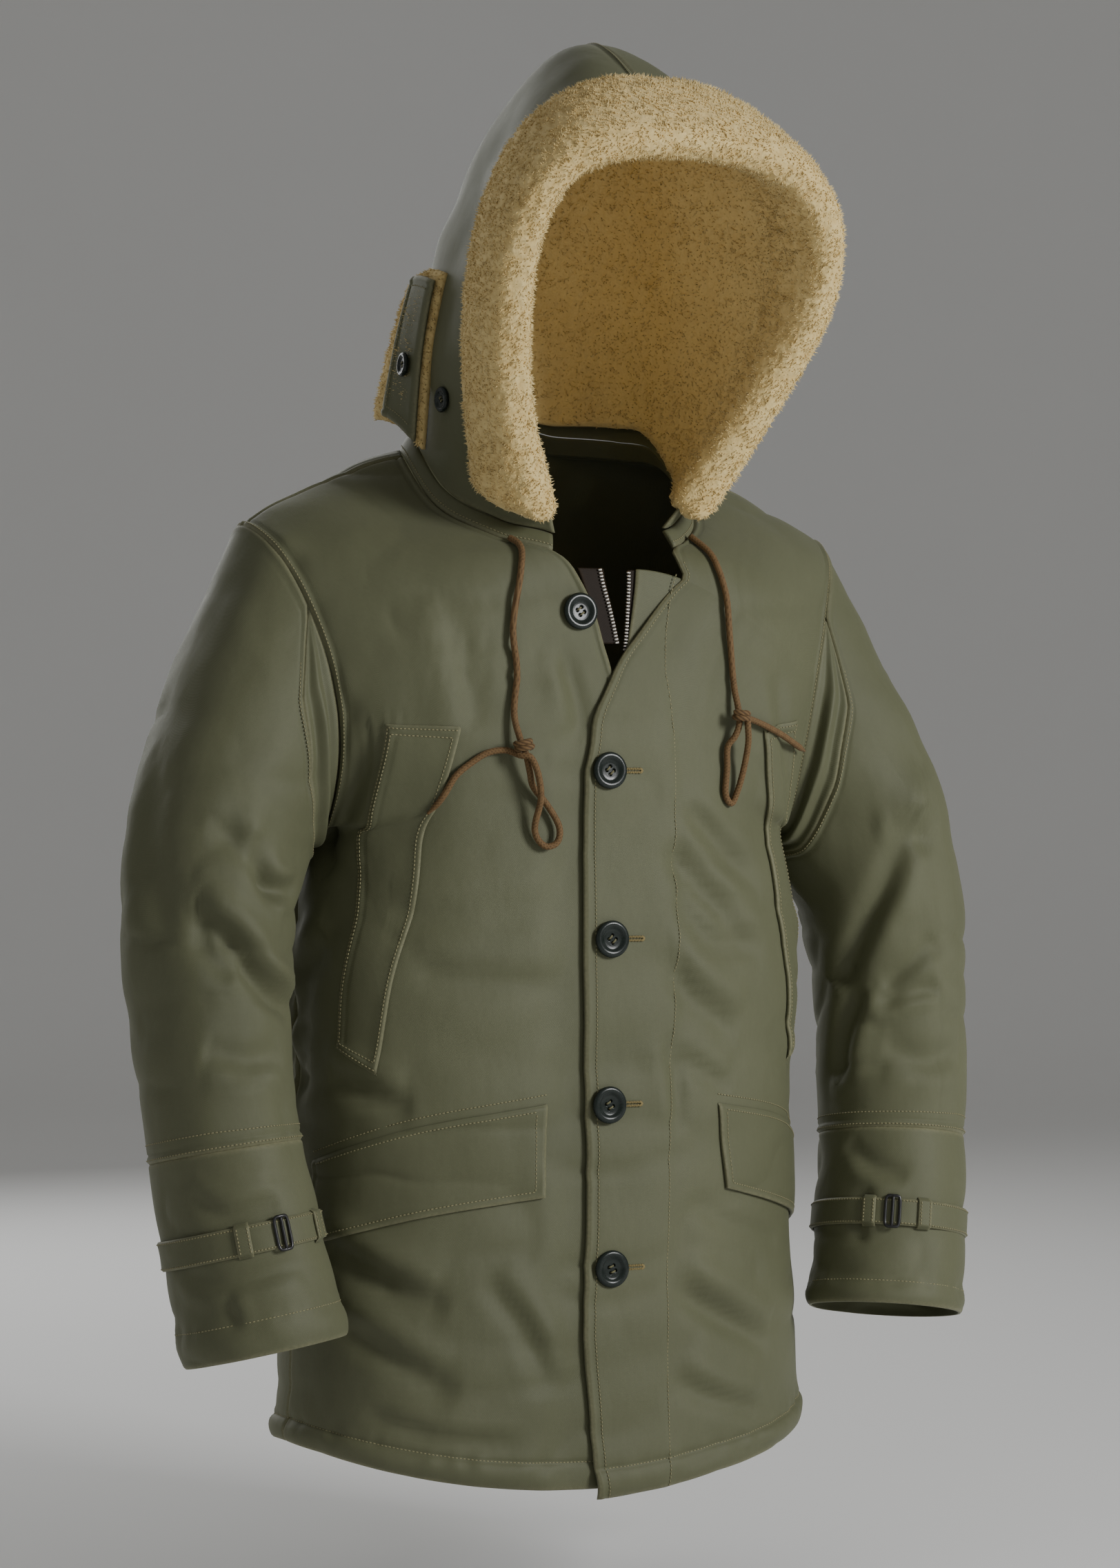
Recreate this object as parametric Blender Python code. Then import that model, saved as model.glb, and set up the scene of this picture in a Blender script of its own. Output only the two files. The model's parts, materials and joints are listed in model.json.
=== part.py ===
"""A hooded flight parka standing as it is worn, in metres: +Z up, the front faces -Y, +X is the wearer's left.

The body is one surface of rows drawn by cubic curves from the centre line to the side seam or armhole, each
sleeve one surface that starts on that armhole, and the hood one surface that starts on the neck band.  Every
sewn piece is a part of one of these surfaces, given a 3 mm wall along the surface's own normal and 0.3 mm
clear of its neighbour.
"""
import bpy
import numpy as np


def smooth(knots, values, at):
    """Cubic through the rows of a table; each row's slope is the weighted mean of its two neighbours'."""
    knots = np.asarray(knots, float)
    values = np.asarray(values, float)
    step = np.diff(knots)[:, None]
    rate = np.diff(values, axis=0) / step
    slope = np.empty_like(values)
    slope[0] = rate[0]
    slope[-1] = rate[-1]
    slope[1:-1] = (rate[:-1] * step[1:] + rate[1:] * step[:-1]) / (step[1:] + step[:-1])
    at = np.clip(np.asarray(at, float), knots[0], knots[-1])
    k = np.clip(np.searchsorted(knots, at, side="right") - 1, 0, len(knots) - 2)
    h = step[k]
    f = (at - knots[k])[..., None] / h
    return ((2 * f**3 - 3 * f**2 + 1) * values[k] + (f**3 - 2 * f**2 + f) * h * slope[k]
            + (3 * f**2 - 2 * f**3) * values[k + 1] + (f**3 - f**2) * h * slope[k + 1])


def line_value(knots, values, at):
    """The same cubic for a single column."""
    return smooth(knots, np.asarray(values, float)[:, None], at)[..., 0]


def unit(v):
    return v / np.maximum(np.linalg.norm(v, axis=-1, keepdims=True), 1e-12)


# columns: turn from the shoulder (front positive, degrees), x, y, z of the armhole
def armhole(turn):
    c = np.cos(np.radians(turn))
    s = np.sin(np.radians(turn))
    x = 0.2275 + 0.0255 * c - 0.019 * s**2
    y = -np.where(s > 0, 0.075, 0.085) * s
    return np.stack([x, y, -0.190 + 0.125 * c], -1)


# columns: row, z, half width, y of the side seam, front depth, back depth, squareness, rise at the side
TRUNK = np.array([
    (0.00, -0.799, 0.219, -0.004, 0.133, 0.120, 0.64, 0.034),
    (0.12, -0.700, 0.214, -0.004, 0.132, 0.118, 0.64, 0.017),
    (0.27, -0.580, 0.210, -0.004, 0.130, 0.117, 0.65, 0.003),
    (0.40, -0.460, 0.211, -0.004, 0.129, 0.116, 0.68, 0.000),
    (0.47, -0.385, 0.211, -0.003, 0.129, 0.117, 0.70, 0.000),
])
# columns: row, turn at the armhole, inner x, y, z, reach in, drop in, heading out, drop out, reach out
YOKE_FRONT = (
    (0.54, 180, 0.0, -0.1275, -0.310, 0.132, 0.00, 90, 0.00, 0.080),
    (0.62, 145, 0.0, -0.1265, -0.245, 0.118, 0.00, 76, 0.00, 0.058),
    (0.70, 112, 0.0, -0.1215, -0.172, 0.105, 0.00, 56, 0.05, 0.060),
    (0.78, 84, 0.029, -0.114, -0.094, 0.080, 0.00, 42, 0.10, 0.062),
    (0.86, 55, 0.081, -0.091, -0.074, 0.056, 0.04, 30, 0.26, 0.052),
    (0.94, 28, 0.113, -0.047, -0.047, 0.045, 0.12, 14, 0.50, 0.045),
    (1.00, 0, 0.115, 0.004, -0.008, 0.047, 0.16, 0, 0.64, 0.047),
)
YOKE_BACK = (
    (1.06, -24, 0.098, 0.042, 0.001, 0.052, 0.14, -12, 0.52, 0.048),
    (1.13, -48, 0.052, 0.068, 0.005, 0.066, 0.08, -26, 0.34, 0.052),
    (1.21, -74, 0.0, 0.074, 0.007, 0.088, 0.02, -38, 0.14, 0.062),
    (1.30, -105, 0.0, 0.103, -0.075, 0.102, 0.00, -52, 0.05, 0.060),
    (1.39, -142, 0.0, 0.115, -0.190, 0.118, 0.00, -74, 0.00, 0.062),
    (1.46, -180, 0.0, 0.1165, -0.310, 0.132, 0.00, -90, 0.00, 0.080),
)


def torso_rows():
    """Every row as its inner end, inner handle, outer end and outer handle."""
    rows = []
    for row, z, half, side_y, front, back, square, rise in TRUNK:
        for mirror, depth in ((row, -front), (2 - row, back)):
            inner = (0, depth, z)
            outer = (half, side_y, z + rise)
            rows.append((mirror, *inner, square * half, 0, 0, *outer, 0, square * (side_y - depth), 0))
    for row, turn, x, y, z, reach, drop, heading, fall, out in YOKE_FRONT + YOKE_BACK:
        aim = np.radians(heading)
        along = unit(np.array((np.cos(aim), np.sin(aim), -fall)))
        handle = reach * unit(np.array((1, 0, -drop)))
        rows.append((row, x, y, z, *handle, *armhole(np.array(float(turn))), *(out * along)))
    rows = np.array(sorted(rows))
    # one more row just under each arm, so that both side seams run straight up into the armhole
    k = int(np.flatnonzero(rows[:, 0] == 0.54)[0])
    m = int(np.flatnonzero(rows[:, 0] == 1.46)[0])
    near = rows[k - 1] + (rows[k] - rows[k - 1]) * 0.93
    far = rows[m + 1] + (rows[m] - rows[m + 1]) * 0.93
    return np.vstack([rows[:k], near, rows[k:m + 1], far, rows[m + 1:]])


ROWS = torso_rows()


def torso(s, t):
    """The wearer's left half: s from the centre to the side or armhole, t from the front hem over to the back's."""
    s, t = np.broadcast_arrays(np.asarray(s, float), np.asarray(t, float))
    v = smooth(ROWS[:, 0], ROWS[:, 1:], t)
    inner, reach, outer, back = v[..., 0:3].copy(), v[..., 3:6], v[..., 6:9], v[..., 9:12]
    inner[..., 0] = np.maximum(inner[..., 0], 0)
    s = s[..., None]
    p = ((1 - s)**3 * inner + 3 * s * (1 - s)**2 * (inner + reach)
         + 3 * s**2 * (1 - s) * (outer - back) + s**3 * outer)
    return np.where(s < 0, inner + 3 * s * reach, p)


def band_top(t):
    """The neck band's upper edge: 13 mm higher and 8 mm further in than the torso's neck edge."""
    p = torso(0.0, t)
    inward = unit((p - (0, -0.02, 0)) * (-1, -1, 0))
    return p + 0.008 * inward + (0, 0, 0.013)


# the armhole's rows, by the turn around the arm: 180 under the arm, 0 at the shoulder, -180 under it again
TURN_ROWS = np.array([(r[0], r[1]) for r in (YOKE_FRONT + YOKE_BACK)], float)


def row_of_turn(turn):
    """The torso row where the armhole has this turn; turns past 180 come back in from -180."""
    turn = (np.asarray(turn, float) + 180) % 360 - 180
    return line_value(-TURN_ROWS[:, 1], TURN_ROWS[:, 0], -turn)


# columns: centre x, y, z, radius across, radius front to back, from the upper arm to the cuff
ARM = np.array([
    (0.296, -0.036, -0.372, 0.064, 0.070),
    (0.298, -0.042, -0.420, 0.061, 0.066),
    (0.296, -0.049, -0.470, 0.059, 0.063),
    (0.2915, -0.058, -0.525, 0.058, 0.062),
    (0.285, -0.067, -0.580, 0.0585, 0.062),
    (0.2765, -0.076, -0.635, 0.060, 0.062),
    (0.269, -0.084, -0.684, 0.061, 0.061),
])
TUBE_FROM = 0.36


def arm_ring(w, turn):
    """A ring of the arm: centre plus radius times the outward and forward directions square to the arm."""
    knots = np.linspace(0, 1, len(ARM))
    row = smooth(knots, ARM, w)
    along = unit(smooth(knots, ARM[:, :3], np.minimum(w + 1e-3, 1)) - smooth(knots, ARM[:, :3], np.maximum(w - 1e-3, 0)))
    ahead = unit(np.array((0, -1.0, 0)) - along * -along[..., 1:2])
    out = unit(np.cross(ahead, along))
    c = np.cos(np.radians(turn))[..., None]
    s = np.sin(np.radians(turn))[..., None]
    return row[..., :3] + row[..., 3:4] * c * out + row[..., 4:5] * s * ahead, along


def sleeve(v, turn):
    """The wearer's left sleeve: v from the armhole to the cuff, turn around the arm in degrees."""
    v, turn = np.broadcast_arrays(np.asarray(v, float), np.asarray(turn, float))
    ring, _ = arm_ring(np.clip((v - TUBE_FROM) / (1 - TUBE_FROM), 0, 1), turn)
    first, along = arm_ring(np.zeros_like(v), turn)
    start = torso(1.0, row_of_turn(turn))
    c = np.cos(np.radians(turn))[..., None]
    s = np.sin(np.radians(turn))[..., None]
    top = np.where(c > 0, np.array((0.40, -0.04, -0.92)), np.array((0.42, -0.10, -0.90)))
    side = np.concatenate([0.80 + 0 * s, -0.16 * s, -0.58 + 0 * s], -1)
    leave = unit(c**2 * top + s**2 * side)
    gap = np.linalg.norm(first - start, axis=-1, keepdims=True)
    f = np.clip(v / TUBE_FROM, 0, 1)[..., None]
    head = ((2 * f**3 - 3 * f**2 + 1) * start + (f**3 - 2 * f**2 + f) * gap * 1.05 * leave
            + (3 * f**2 - 2 * f**3) * first + (f**3 - f**2) * gap * along)
    return np.where(v[..., None] < TUBE_FROM, head, ring)


# columns: place from the face edge to the back, place on the neckline, y and z on the crown,
# then the half width at five places up the side
HOOD = np.array([
    (0.00, 0.820, -0.238, 0.212, 0.100, 0.125, 0.119, 0.080),
    (0.14, 0.860, -0.185, 0.256, 0.107, 0.117, 0.099, 0.058),
    (0.28, 0.910, -0.130, 0.294, 0.111, 0.105, 0.079, 0.042),
    (0.42, 0.955, -0.088, 0.306, 0.108, 0.093, 0.067, 0.035),
    (0.56, 1.005, -0.035, 0.289, 0.101, 0.085, 0.060, 0.031),
    (0.70, 1.065, 0.018, 0.243, 0.086, 0.071, 0.050, 0.026),
    (0.84, 1.135, 0.056, 0.170, 0.056, 0.048, 0.034, 0.018),
    (1.00, 1.2095, 0.076, 0.060, 0.0007, 0.0006, 0.0005, 0.0004),
])


def hood(q, p, side=1):
    """One hood half, drawn as the wearer's left: q from the face edge to the back, p from neck to crown seam."""
    q, p = np.broadcast_arrays(np.asarray(q, float), np.asarray(p, float))
    row = smooth(HOOD[:, 0], HOOD[:, 1:], q)
    base = band_top(row[..., 0] + side * 0.020 * np.clip(1 - q, 0, 1)**3)
    rise = np.sin(np.clip(p, 0, 1) * np.pi / 2)
    weight = smooth(np.linspace(0, 1, 6), np.eye(6), p)
    wide = base[..., 0] * weight[..., 0] + (row[..., 3:7] * weight[..., 1:5]).sum(-1)
    wide = wide + side * 0.030 * np.clip(1 - q / 0.7, 0, 1)**2 * (1 - p) * np.sin(np.pi * p)
    y = base[..., 1] + (row[..., 1] - base[..., 1]) * rise
    z = base[..., 2] + (row[..., 2] - base[..., 2]) * rise
    return np.stack([wide, y, z], -1)


WALL = 0.003
HALF_GAP = 0.00016
TURNS = np.array([180, 162, 144, 126, 108, 92, 84, 76, 62, 48, 32, 16, 0,
                  -16, -32, -48, -62, -74, -90, -108, -126, -144, -162, -180], float)
TRUNK_T = np.array([0, 0.006, 0.013, 0.020, 0.027, 0.06, 0.10, 0.145, 0.19, 0.24, 0.29, 0.34, 0.385, 0.43, 0.47, 0.505])
LEFT_START = 62
RIGHT_START = 76


def normal_of(surface, a, b, step_a, step_b, top_a):
    """Outward unit normal: the cross product of the two small steps along the surface."""
    a0 = np.where(a > top_a - step_a, a - step_a, a)
    da = surface(a0 + step_a, b) - surface(a0, b)
    db = surface(a, b + step_b) - surface(a, b - step_b)
    return unit(np.cross(da, db))


def torso_normal(s, t):
    return normal_of(torso, s, t, 1e-3, 1e-3, 1.0)


def sleeve_normal(v, turn):
    return normal_of(lambda b, a: sleeve(a, b), np.asarray(turn, float), np.maximum(v, 1e-3), 0.5, 1e-3, 1e9)


def hood_normal(q, p, side):
    q = np.clip(q, 2e-3, 0.985)
    p = np.clip(p, 0, 1)
    n = normal_of(lambda a, b: hood(b, a, side), p, q, 2e-3, 2e-3, 1.0)
    return -n


def mirrored(points, side):
    return points * np.array((side, 1, 1))


def armhole_mitre(turn):
    """Halfway between the torso's and the sleeve's normals, used by both edges of the armhole seam."""
    row = row_of_turn(turn)
    return unit(torso_normal(1.0 + 0 * row, row) + sleeve_normal(0 * row, turn))


def armhole_apart(turn):
    """Unit direction across the armhole seam, from torso to sleeve, square to the seam and to its mitre."""
    row = row_of_turn(turn)
    along = torso(1.0 + 0 * row, row + 1e-3) - torso(1.0 + 0 * row, row - 1e-3)
    across = unit(np.cross(armhole_mitre(turn), along))
    out = unit(torso(1.0 + 0 * row, row) - torso(0.998 + 0 * row, row))
    on = unit(sleeve(0 * turn + 2e-3, turn) - sleeve(0 * turn, turn))
    return across * np.where((across * (out + on)).sum(-1, keepdims=True) < 0, -1, 1)


def band_normal(t):
    up = band_top(t) - torso(0.0, t)
    along = torso(0.0, t + 1e-3) - torso(0.0, t - 1e-3)
    n = unit(np.cross(up, along))
    out = torso(0.0, t) - (0, -0.02, 0)
    return n * np.where((n * out).sum(-1, keepdims=True) < 0, -1, 1)


def hood_place(t, side):
    """The place q on the hood whose base stands over this torso row."""
    q = np.linspace(0, 1, 801)
    rows = line_value(HOOD[:, 0], HOOD[:, 1], q) + side * 0.020 * (1 - q)**3
    return np.interp(t, rows, q)


def neck_mitre(t):
    return unit(torso_normal(0 * t, t) + band_normal(t))


def collar_mitre(t, side):
    return unit(band_normal(t) + hood_normal(hood_place(t, side), 0 * t, side))


def add_mesh(name, points, faces):
    mesh = bpy.data.meshes.new(name)
    mesh.from_pydata([tuple(p) for p in points], [], [tuple(int(i) for i in f) for f in faces])
    mesh.update()
    thing = bpy.data.objects.new(name, mesh)
    bpy.context.scene.collection.objects.link(thing)
    return thing


def rim_faces(a, b, count, from_a):
    """Two triangles closing one rim edge; neighbours along a seam choose the same diagonal."""
    if from_a:
        return [[b, a, b + count], [a, a + count, b + count]]
    return [[b, a, a + count], [b, a + count, b + count]]


def thicken(name, grids, depth=WALL, lift=0.0):
    """Weld grids of points and normals into one skin, add its inner copy and close the edges between them."""
    points = np.concatenate([p.reshape(-1, 3) for p, n in grids])
    normals = np.concatenate([n.reshape(-1, 3) for p, n in grids])
    quads = []
    first = 0
    for p, n in grids:
        h, w = p.shape[:2]
        k = first + np.arange(h * w).reshape(h, w)
        q = np.stack([k[:-1, :-1], k[:-1, 1:], k[1:, 1:], k[1:, :-1]], -1).reshape(-1, 4)
        corner = points[q]
        flat = np.cross(corner[:, 2] - corner[:, 0], corner[:, 3] - corner[:, 1])
        split = np.concatenate([q[:, [0, 1, 2]], q[:, [0, 2, 3]]])
        if (flat * normals[q].mean(1)).sum() < 0:
            split = split[:, ::-1]
        quads.append(split)
        first += h * w
    quads = np.concatenate(quads)
    _, index, place = np.unique(np.round(points, 7) + 0.0, axis=0, return_index=True, return_inverse=True)
    place = place.reshape(-1)
    total = np.zeros((len(index), 3))
    np.add.at(total, place, normals)
    outward = unit(total)
    points = points[index]
    faces = []
    for q in place[quads]:
        ring = [int(a) for i, a in enumerate(q) if a != q[i - 1]]
        if len(ring) > 2:
            faces.append(ring)
    edges = {}
    for f in faces:
        for i, a in enumerate(f):
            edges[(f[i - 1], a)] = 1
    count = len(points)
    solid = list(faces) + [[a + count for a in reversed(f)] for f in faces]
    rank = points[:, 2] + 0.37 * points[:, 1] + 0.11 * np.abs(points[:, 0])
    for a, b in edges:
        if (b, a) not in edges:
            solid += rim_faces(a, b, count, rank[a] > rank[b])
    both = np.concatenate([points + outward * lift, points + outward * (lift - depth)])
    return add_mesh(name, both, solid)


def tube(name, rings):
    """A closed skin through rings of points, with flat ends."""
    n, m = rings.shape[:2]
    faces = []
    for i in range(n - 1):
        for j in range(m):
            k = (j + 1) % m
            faces.append([i * m + j, i * m + k, (i + 1) * m + k, (i + 1) * m + j])
    faces.append([j for j in range(m)][::-1])
    faces.append([(n - 1) * m + j for j in range(m)])
    points = rings.reshape(-1, 3)
    volume = 0
    for f in faces:
        for i in range(1, len(f) - 1):
            volume += np.dot(points[f[0]], np.cross(points[f[i]], points[f[i + 1]]))
    if volume < 0:
        faces = [f[::-1] for f in faces]
    return add_mesh(name, points, faces)


# the front edges: how far past the centre line (negative) or away from it each row starts
LEFT_EDGE = np.array([(0, -0.036), (0.03, -0.045), (0.143, -0.067), (0.29, -0.056), (0.456, -0.058), (0.61, -0.064),
                      (0.662, -0.041), (0.711, 0.038), (0.742, 0.109), (0.778, 0.190), (0.80, 0.12), (0.82, 0.05)])
RIGHT_EDGE = np.array([(0, -0.055), (0.65, -0.055), (0.68, -0.030), (0.70, -0.008), (0.715, 0.0)])


PANEL = {}


def hem_swell(t):
    """The turned hem: up to 3 mm fuller over the lowest 22 mm."""
    low = np.minimum(t, 2 - t)
    return 0.003 * np.sin(np.pi * np.clip(low / 0.027, 0, 1))


def step_down(value, full, none):
    f = np.clip((value - none) / (full - none), 0, 1)
    return f * f * (3 - 2 * f)


def edge_start(side, t):
    start_row = row_of_turn(LEFT_START if side > 0 else RIGHT_START)
    table = LEFT_EDGE if side > 0 else RIGHT_EDGE
    table = np.vstack([table[table[:, 0] < start_row - 1e-3], (start_row, 0.0), (1.3, 0.0)])
    return np.interp(t, table[:, 0], table[:, 1])


def front(side):
    """One front: every torso row from its front edge out to the side seam or armhole."""
    yoke = row_of_turn(TURNS[:13])
    t = np.concatenate([TRUNK_T, yoke])
    extra = (0.73, 0.742, 0.765) if side > 0 else (0.69, 0.72)
    t = np.unique(np.concatenate([t, extra]))
    t[-1] = 1 - HALF_GAP
    start = edge_start(side, t)[:, None]
    across = np.array([0, 0.05, 0.10, 0.16, 0.24, 0.33, 0.42, 0.51, 0.60, 0.69, 0.78, 0.86, 0.93, 1.0])
    s = start + (1 - 0.0005 - start) * across
    rows = np.broadcast_to(t[:, None], s.shape)
    p = torso(s, rows)
    n = torso_normal(s, rows)
    arm = t >= 0.5399
    n[arm, -1] = armhole_mitre(turn_of_row(t[arm]))
    p[arm, -1] -= armhole_apart(turn_of_row(t[arm])) * HALF_GAP
    neck = t >= row_of_turn(LEFT_START if side > 0 else RIGHT_START) - 1e-6
    n[neck, 0] = neck_mitre(t[neck])
    swell = hem_swell(rows)
    if side < 0:
        swell = swell * (1 - step_down(s, 0.085, 0.17))
    p = p + n * swell[..., None]
    if side > 0:
        drop = 0.008 * np.clip((0.25 - s) / 0.3, 0, 1) * np.clip(1 - rows / 0.1, 0, 1)
        p[..., 2] -= drop
    else:
        sink = (WALL + 0.00085) * step_down(s, 0.085, 0.17) * step_down(rows, 0.69, 0.714)
        p = p - n * sink[..., None]
    PANEL[side] = (s, rows, p, n)
    name = "front_left" if side > 0 else "front_right"
    return thicken(name, [(mirrored(p, side), mirrored(n, side))])


def turn_of_row(t):
    turns = np.linspace(180, -180, 1441)
    return np.interp(t, row_of_turn_edge(turns), turns)


def row_of_turn_edge(turns):
    rows = row_of_turn(np.clip(turns, -179.999, 179.999))
    rows = np.where(turns >= 180, 0.54, rows)
    return np.where(turns <= -180, 1.46, rows)


def back():
    """The back: whole rows below the neck, and a wing on each side of it up to the shoulder seams."""
    turns = TURNS[12:]
    yoke = row_of_turn_edge(turns)
    t = np.unique(np.concatenate([yoke, 2 - TRUNK_T, (1.21,)]))
    t[0] = 1 + HALF_GAP
    across = np.array([0, 0.09, 0.18, 0.28, 0.38, 0.48, 0.58, 0.68, 0.78, 0.86, 0.93, 1.0])
    grids = []
    for side in (1, -1):
        s = np.broadcast_to(across * (1 - 0.0005), (len(t), len(across)))
        rows = np.broadcast_to(t[:, None], s.shape)
        p = torso(s, rows)
        n = torso_normal(s, rows)
        arm = t <= 1.4601
        n[arm, -1] = armhole_mitre(turn_of_row(t[arm]))
        p[arm, -1] -= armhole_apart(turn_of_row(t[arm])) * HALF_GAP
        neck = t <= 1.21 + 1e-6
        n[neck, 0] = neck_mitre(t[neck])
        below = t > 1.2099
        p[below, 0, 0] = 0
        n[below, 0, 0] = 0
        n = unit(n)
        p = p + n * hem_swell(rows)[..., None]
        grids.append((mirrored(p, side), mirrored(n, side)))
    return thicken("back", grids)


# how far down the sleeve the underarm gusset reaches, by the turn
GUSSET = np.array([(62, 0.0025), (76, 0.036), (84, 0.057), (100, 0.070), (112, 0.085), (135, 0.092), (180, 0.090)])
SLEEVE_SEAM = {1: 0.722, -1: 0.703}
STRAP = {1: (0.832, 0.872), -1: (0.808, 0.848)}


def gusset_reach(turn):
    return np.interp(np.abs(turn), GUSSET[:, 0], GUSSET[:, 1])


def sleeve_piece(name, side, turns, top, low, steps, fold=None):
    """Part of a sleeve between two heights, each height given for every turn."""
    f = np.linspace(0, 1, steps)[:, None]
    v = top + (low - top) * f
    a = np.broadcast_to(turns, v.shape)
    p = sleeve(v, a)
    n = sleeve_normal(v, a)
    at_arm = top < 0.001
    n[0, at_arm] = armhole_mitre(turns[at_arm])
    p[0, at_arm] += armhole_apart(turns[at_arm]) * HALF_GAP
    if fold is not None:
        p = p + n * fold(f, a)[..., None]
    if turns[0] - turns[-1] == 360:
        p[:, -1] = p[:, 0]
        n[:, -1] = n[:, 0]
    return thicken(name, [(mirrored(p, side), mirrored(n, side))])


def pleat(f, turn):
    """The gusset's standing fold: 4 mm proud just past its middle, flat at both seams."""
    f, turn = np.broadcast_arrays(f, turn)
    ends = np.clip((np.abs(turn) - 66) / 30, 0, 1)
    return 0.004 * ends * np.exp(-((f - 0.5) / 0.16)**2)


def arms(side, tag):
    gap = 0.0003
    front_turns = TURNS[(TURNS >= 62)][::-1]
    back_turns = TURNS[(TURNS <= -62) & (TURNS > -180)][::-1]
    gus = np.concatenate([front_turns, back_turns])
    reach = gusset_reach(gus)
    speed = np.linalg.norm(sleeve(reach + 1e-3, gus) - sleeve(reach, gus), axis=-1) / 1e-3
    sleeve_piece("gusset_" + tag, side, gus, np.zeros(gus.shape), reach - 0.00022 / speed, 5, pleat)
    reach = gusset_reach(TURNS)
    speed = np.linalg.norm(sleeve(reach + 1e-3, TURNS) - sleeve(reach, TURNS), axis=-1) / 1e-3
    top = np.where(np.abs(TURNS) >= 62, reach + 0.0002 / speed, 0)
    seam = SLEEVE_SEAM[side]
    sleeve_piece("sleeve_" + tag, side, TURNS, top, np.full(TURNS.shape, seam - gap), 11)
    sleeve_piece("sleeve_cuff_" + tag, side, TURNS, np.full(TURNS.shape, seam + gap), np.ones(TURNS.shape), 6)


def cuff_strap(side, tag):
    """The strap round the cuff, its keeper and end loop over it, and the buckle's frame on top."""
    high, low = STRAP[side]
    v = np.linspace(high, low, 3)[:, None] + 0 * TURNS
    a = np.broadcast_to(TURNS, v.shape)
    n = sleeve_normal(v, a)
    p = sleeve(v, a) + n * 0.0027
    p[:, -1] = p[:, 0]
    n[:, -1] = n[:, 0]
    thicken("cuff_strap_" + tag, [(mirrored(p, side), mirrored(n, side))], 0.0022)
    places = {1: (97.0, 138.0, 121.0), -1: (69.0, 134.0, 97.0)}[side]
    for name, turn in (("cuff_keeper_", places[0]), ("cuff_loop_", places[1])):
        a = turn + np.linspace(-4.8, 4.8, 4)
        v = np.linspace(high - 0.004, low + 0.004, 3)[:, None] + 0 * a
        a = np.broadcast_to(a, v.shape)
        n = sleeve_normal(v, a)
        p = sleeve(v, a) + n * 0.0047
        thicken(name + tag, [(mirrored(p, side), mirrored(n, side))], 0.0018)
    turn = places[2]
    middle = (high + low) / 2
    centre = sleeve(np.array(middle), np.array(turn))
    n = sleeve_normal(np.array(middle), np.array(turn))
    down = unit(sleeve(np.array(middle + 0.01), np.array(turn)) - centre)
    along = unit(np.cross(down, n))
    centre = centre + n * 0.0030
    frame = []
    for u, w in ((-1, -1), (1, -1), (1, 1), (-1, 1)):
        ring = []
        for size, rise in ((1.0, 0.0), (1.0, 0.0022), (0.0, 0.0022), (0.0, 0.0)):
            half_u = 0.0042 + 0.0028 * size
            half_w = 0.0105 + 0.0030 * size
            ring.append(centre + along * u * half_u + down * w * half_w + n * rise)
        frame.append(ring)
    frame = np.array(frame)
    faces = []
    for i in range(4):
        j = (i + 1) % 4
        for k in range(4):
            m = (k + 1) % 4
            faces.append([i * 4 + k, j * 4 + k, j * 4 + m, i * 4 + m])
    points = mirrored(frame.reshape(-1, 3), side)
    ring = points[faces[0]]
    up = mirrored(n, side)
    outer = ring.mean(0) - mirrored(centre, side)
    flat = np.cross(ring[1] - ring[0], ring[3] - ring[0])
    if np.dot(flat, outer) < 0:
        faces = [f[::-1] for f in faces]
    add_mesh("cuff_buckle_" + tag, points, faces)


def neck_rows(side):
    """The torso rows that carry the neck band on this side, from its front end to the centre back."""
    start = row_of_turn(float(LEFT_START if side > 0 else RIGHT_START))
    rows = row_of_turn(TURNS)
    rows = rows[(rows > start - 1e-6) & (rows < 1.2095)]
    return np.unique(np.concatenate([[float(start)], rows]))


def between(knots, values, at):
    """Straight from one row to the next, as the neighbouring piece's edge runs."""
    return np.stack([np.interp(at, knots, values[:, k]) for k in range(3)], -1)


def neck_band():
    """A narrow band standing on the neck edge, from the right front round the back to the left front."""
    grids = []
    for side in (1, -1):
        below = np.concatenate([neck_rows(side), [1.21]])
        above = line_value(HOOD[:, 0], HOOD[:, 1], HOOD_Q) + side * 0.020 * (1 - HOOD_Q)**3
        t = np.unique(np.concatenate([below, above[1:-1]]))
        t = t[np.concatenate([[True], np.diff(t) > 0.0008])]
        t[-1] = 1.21
        low, n_low = between(below, torso(0.0, below), t), between(below, neck_mitre(below), t)
        high, n_high = between(above, band_top(above), t), between(above, collar_mitre(above, side), t)
        low[-1, 0] = high[-1, 0] = 0
        n_low[-1, 0] = n_high[-1, 0] = 0
        rise = np.array([0.05, 0.5, 0.985])[:, None, None]
        p = low + (high - low) * rise
        n = unit(n_low + (n_high - n_low) * rise)
        grids.append((mirrored(p, side), mirrored(n, side)))
    return thicken("neck_band", grids)


HOOD_P = np.array([0.0012, 0.09, 0.18, 0.27, 0.36, 0.45, 0.54, 0.63, 0.72, 0.80, 0.87, 0.94, 1.0])
HOOD_Q = np.array([0, 0.035, 0.07, 0.105, 0.14, 0.185, 0.235, 0.29, 0.36, 0.44, 0.52, 0.60, 0.69, 0.78, 0.88, 1.0])


def hood_half(side, tag):
    q = HOOD_Q
    grid_q, grid_p = np.meshgrid(q, HOOD_P, indexing="ij")
    p = hood(grid_q, grid_p, side)
    n = hood_normal(grid_q, grid_p, side)
    rows = line_value(HOOD[:, 0], HOOD[:, 1], q) + side * 0.020 * (1 - q)**3
    n[:, 0] = collar_mitre(rows, side)
    n[:, -1, 0] = 0
    n[-1, :, 0] = 0
    n[-1] = unit(n[-1] + (0, 0.6, 0))
    n = unit(n)
    p[:, -1, 0] = HALF_GAP
    p[-1, :, 0] = HALF_GAP
    return thicken("hood_" + tag, [(mirrored(p, side), mirrored(n, side))])


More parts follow.
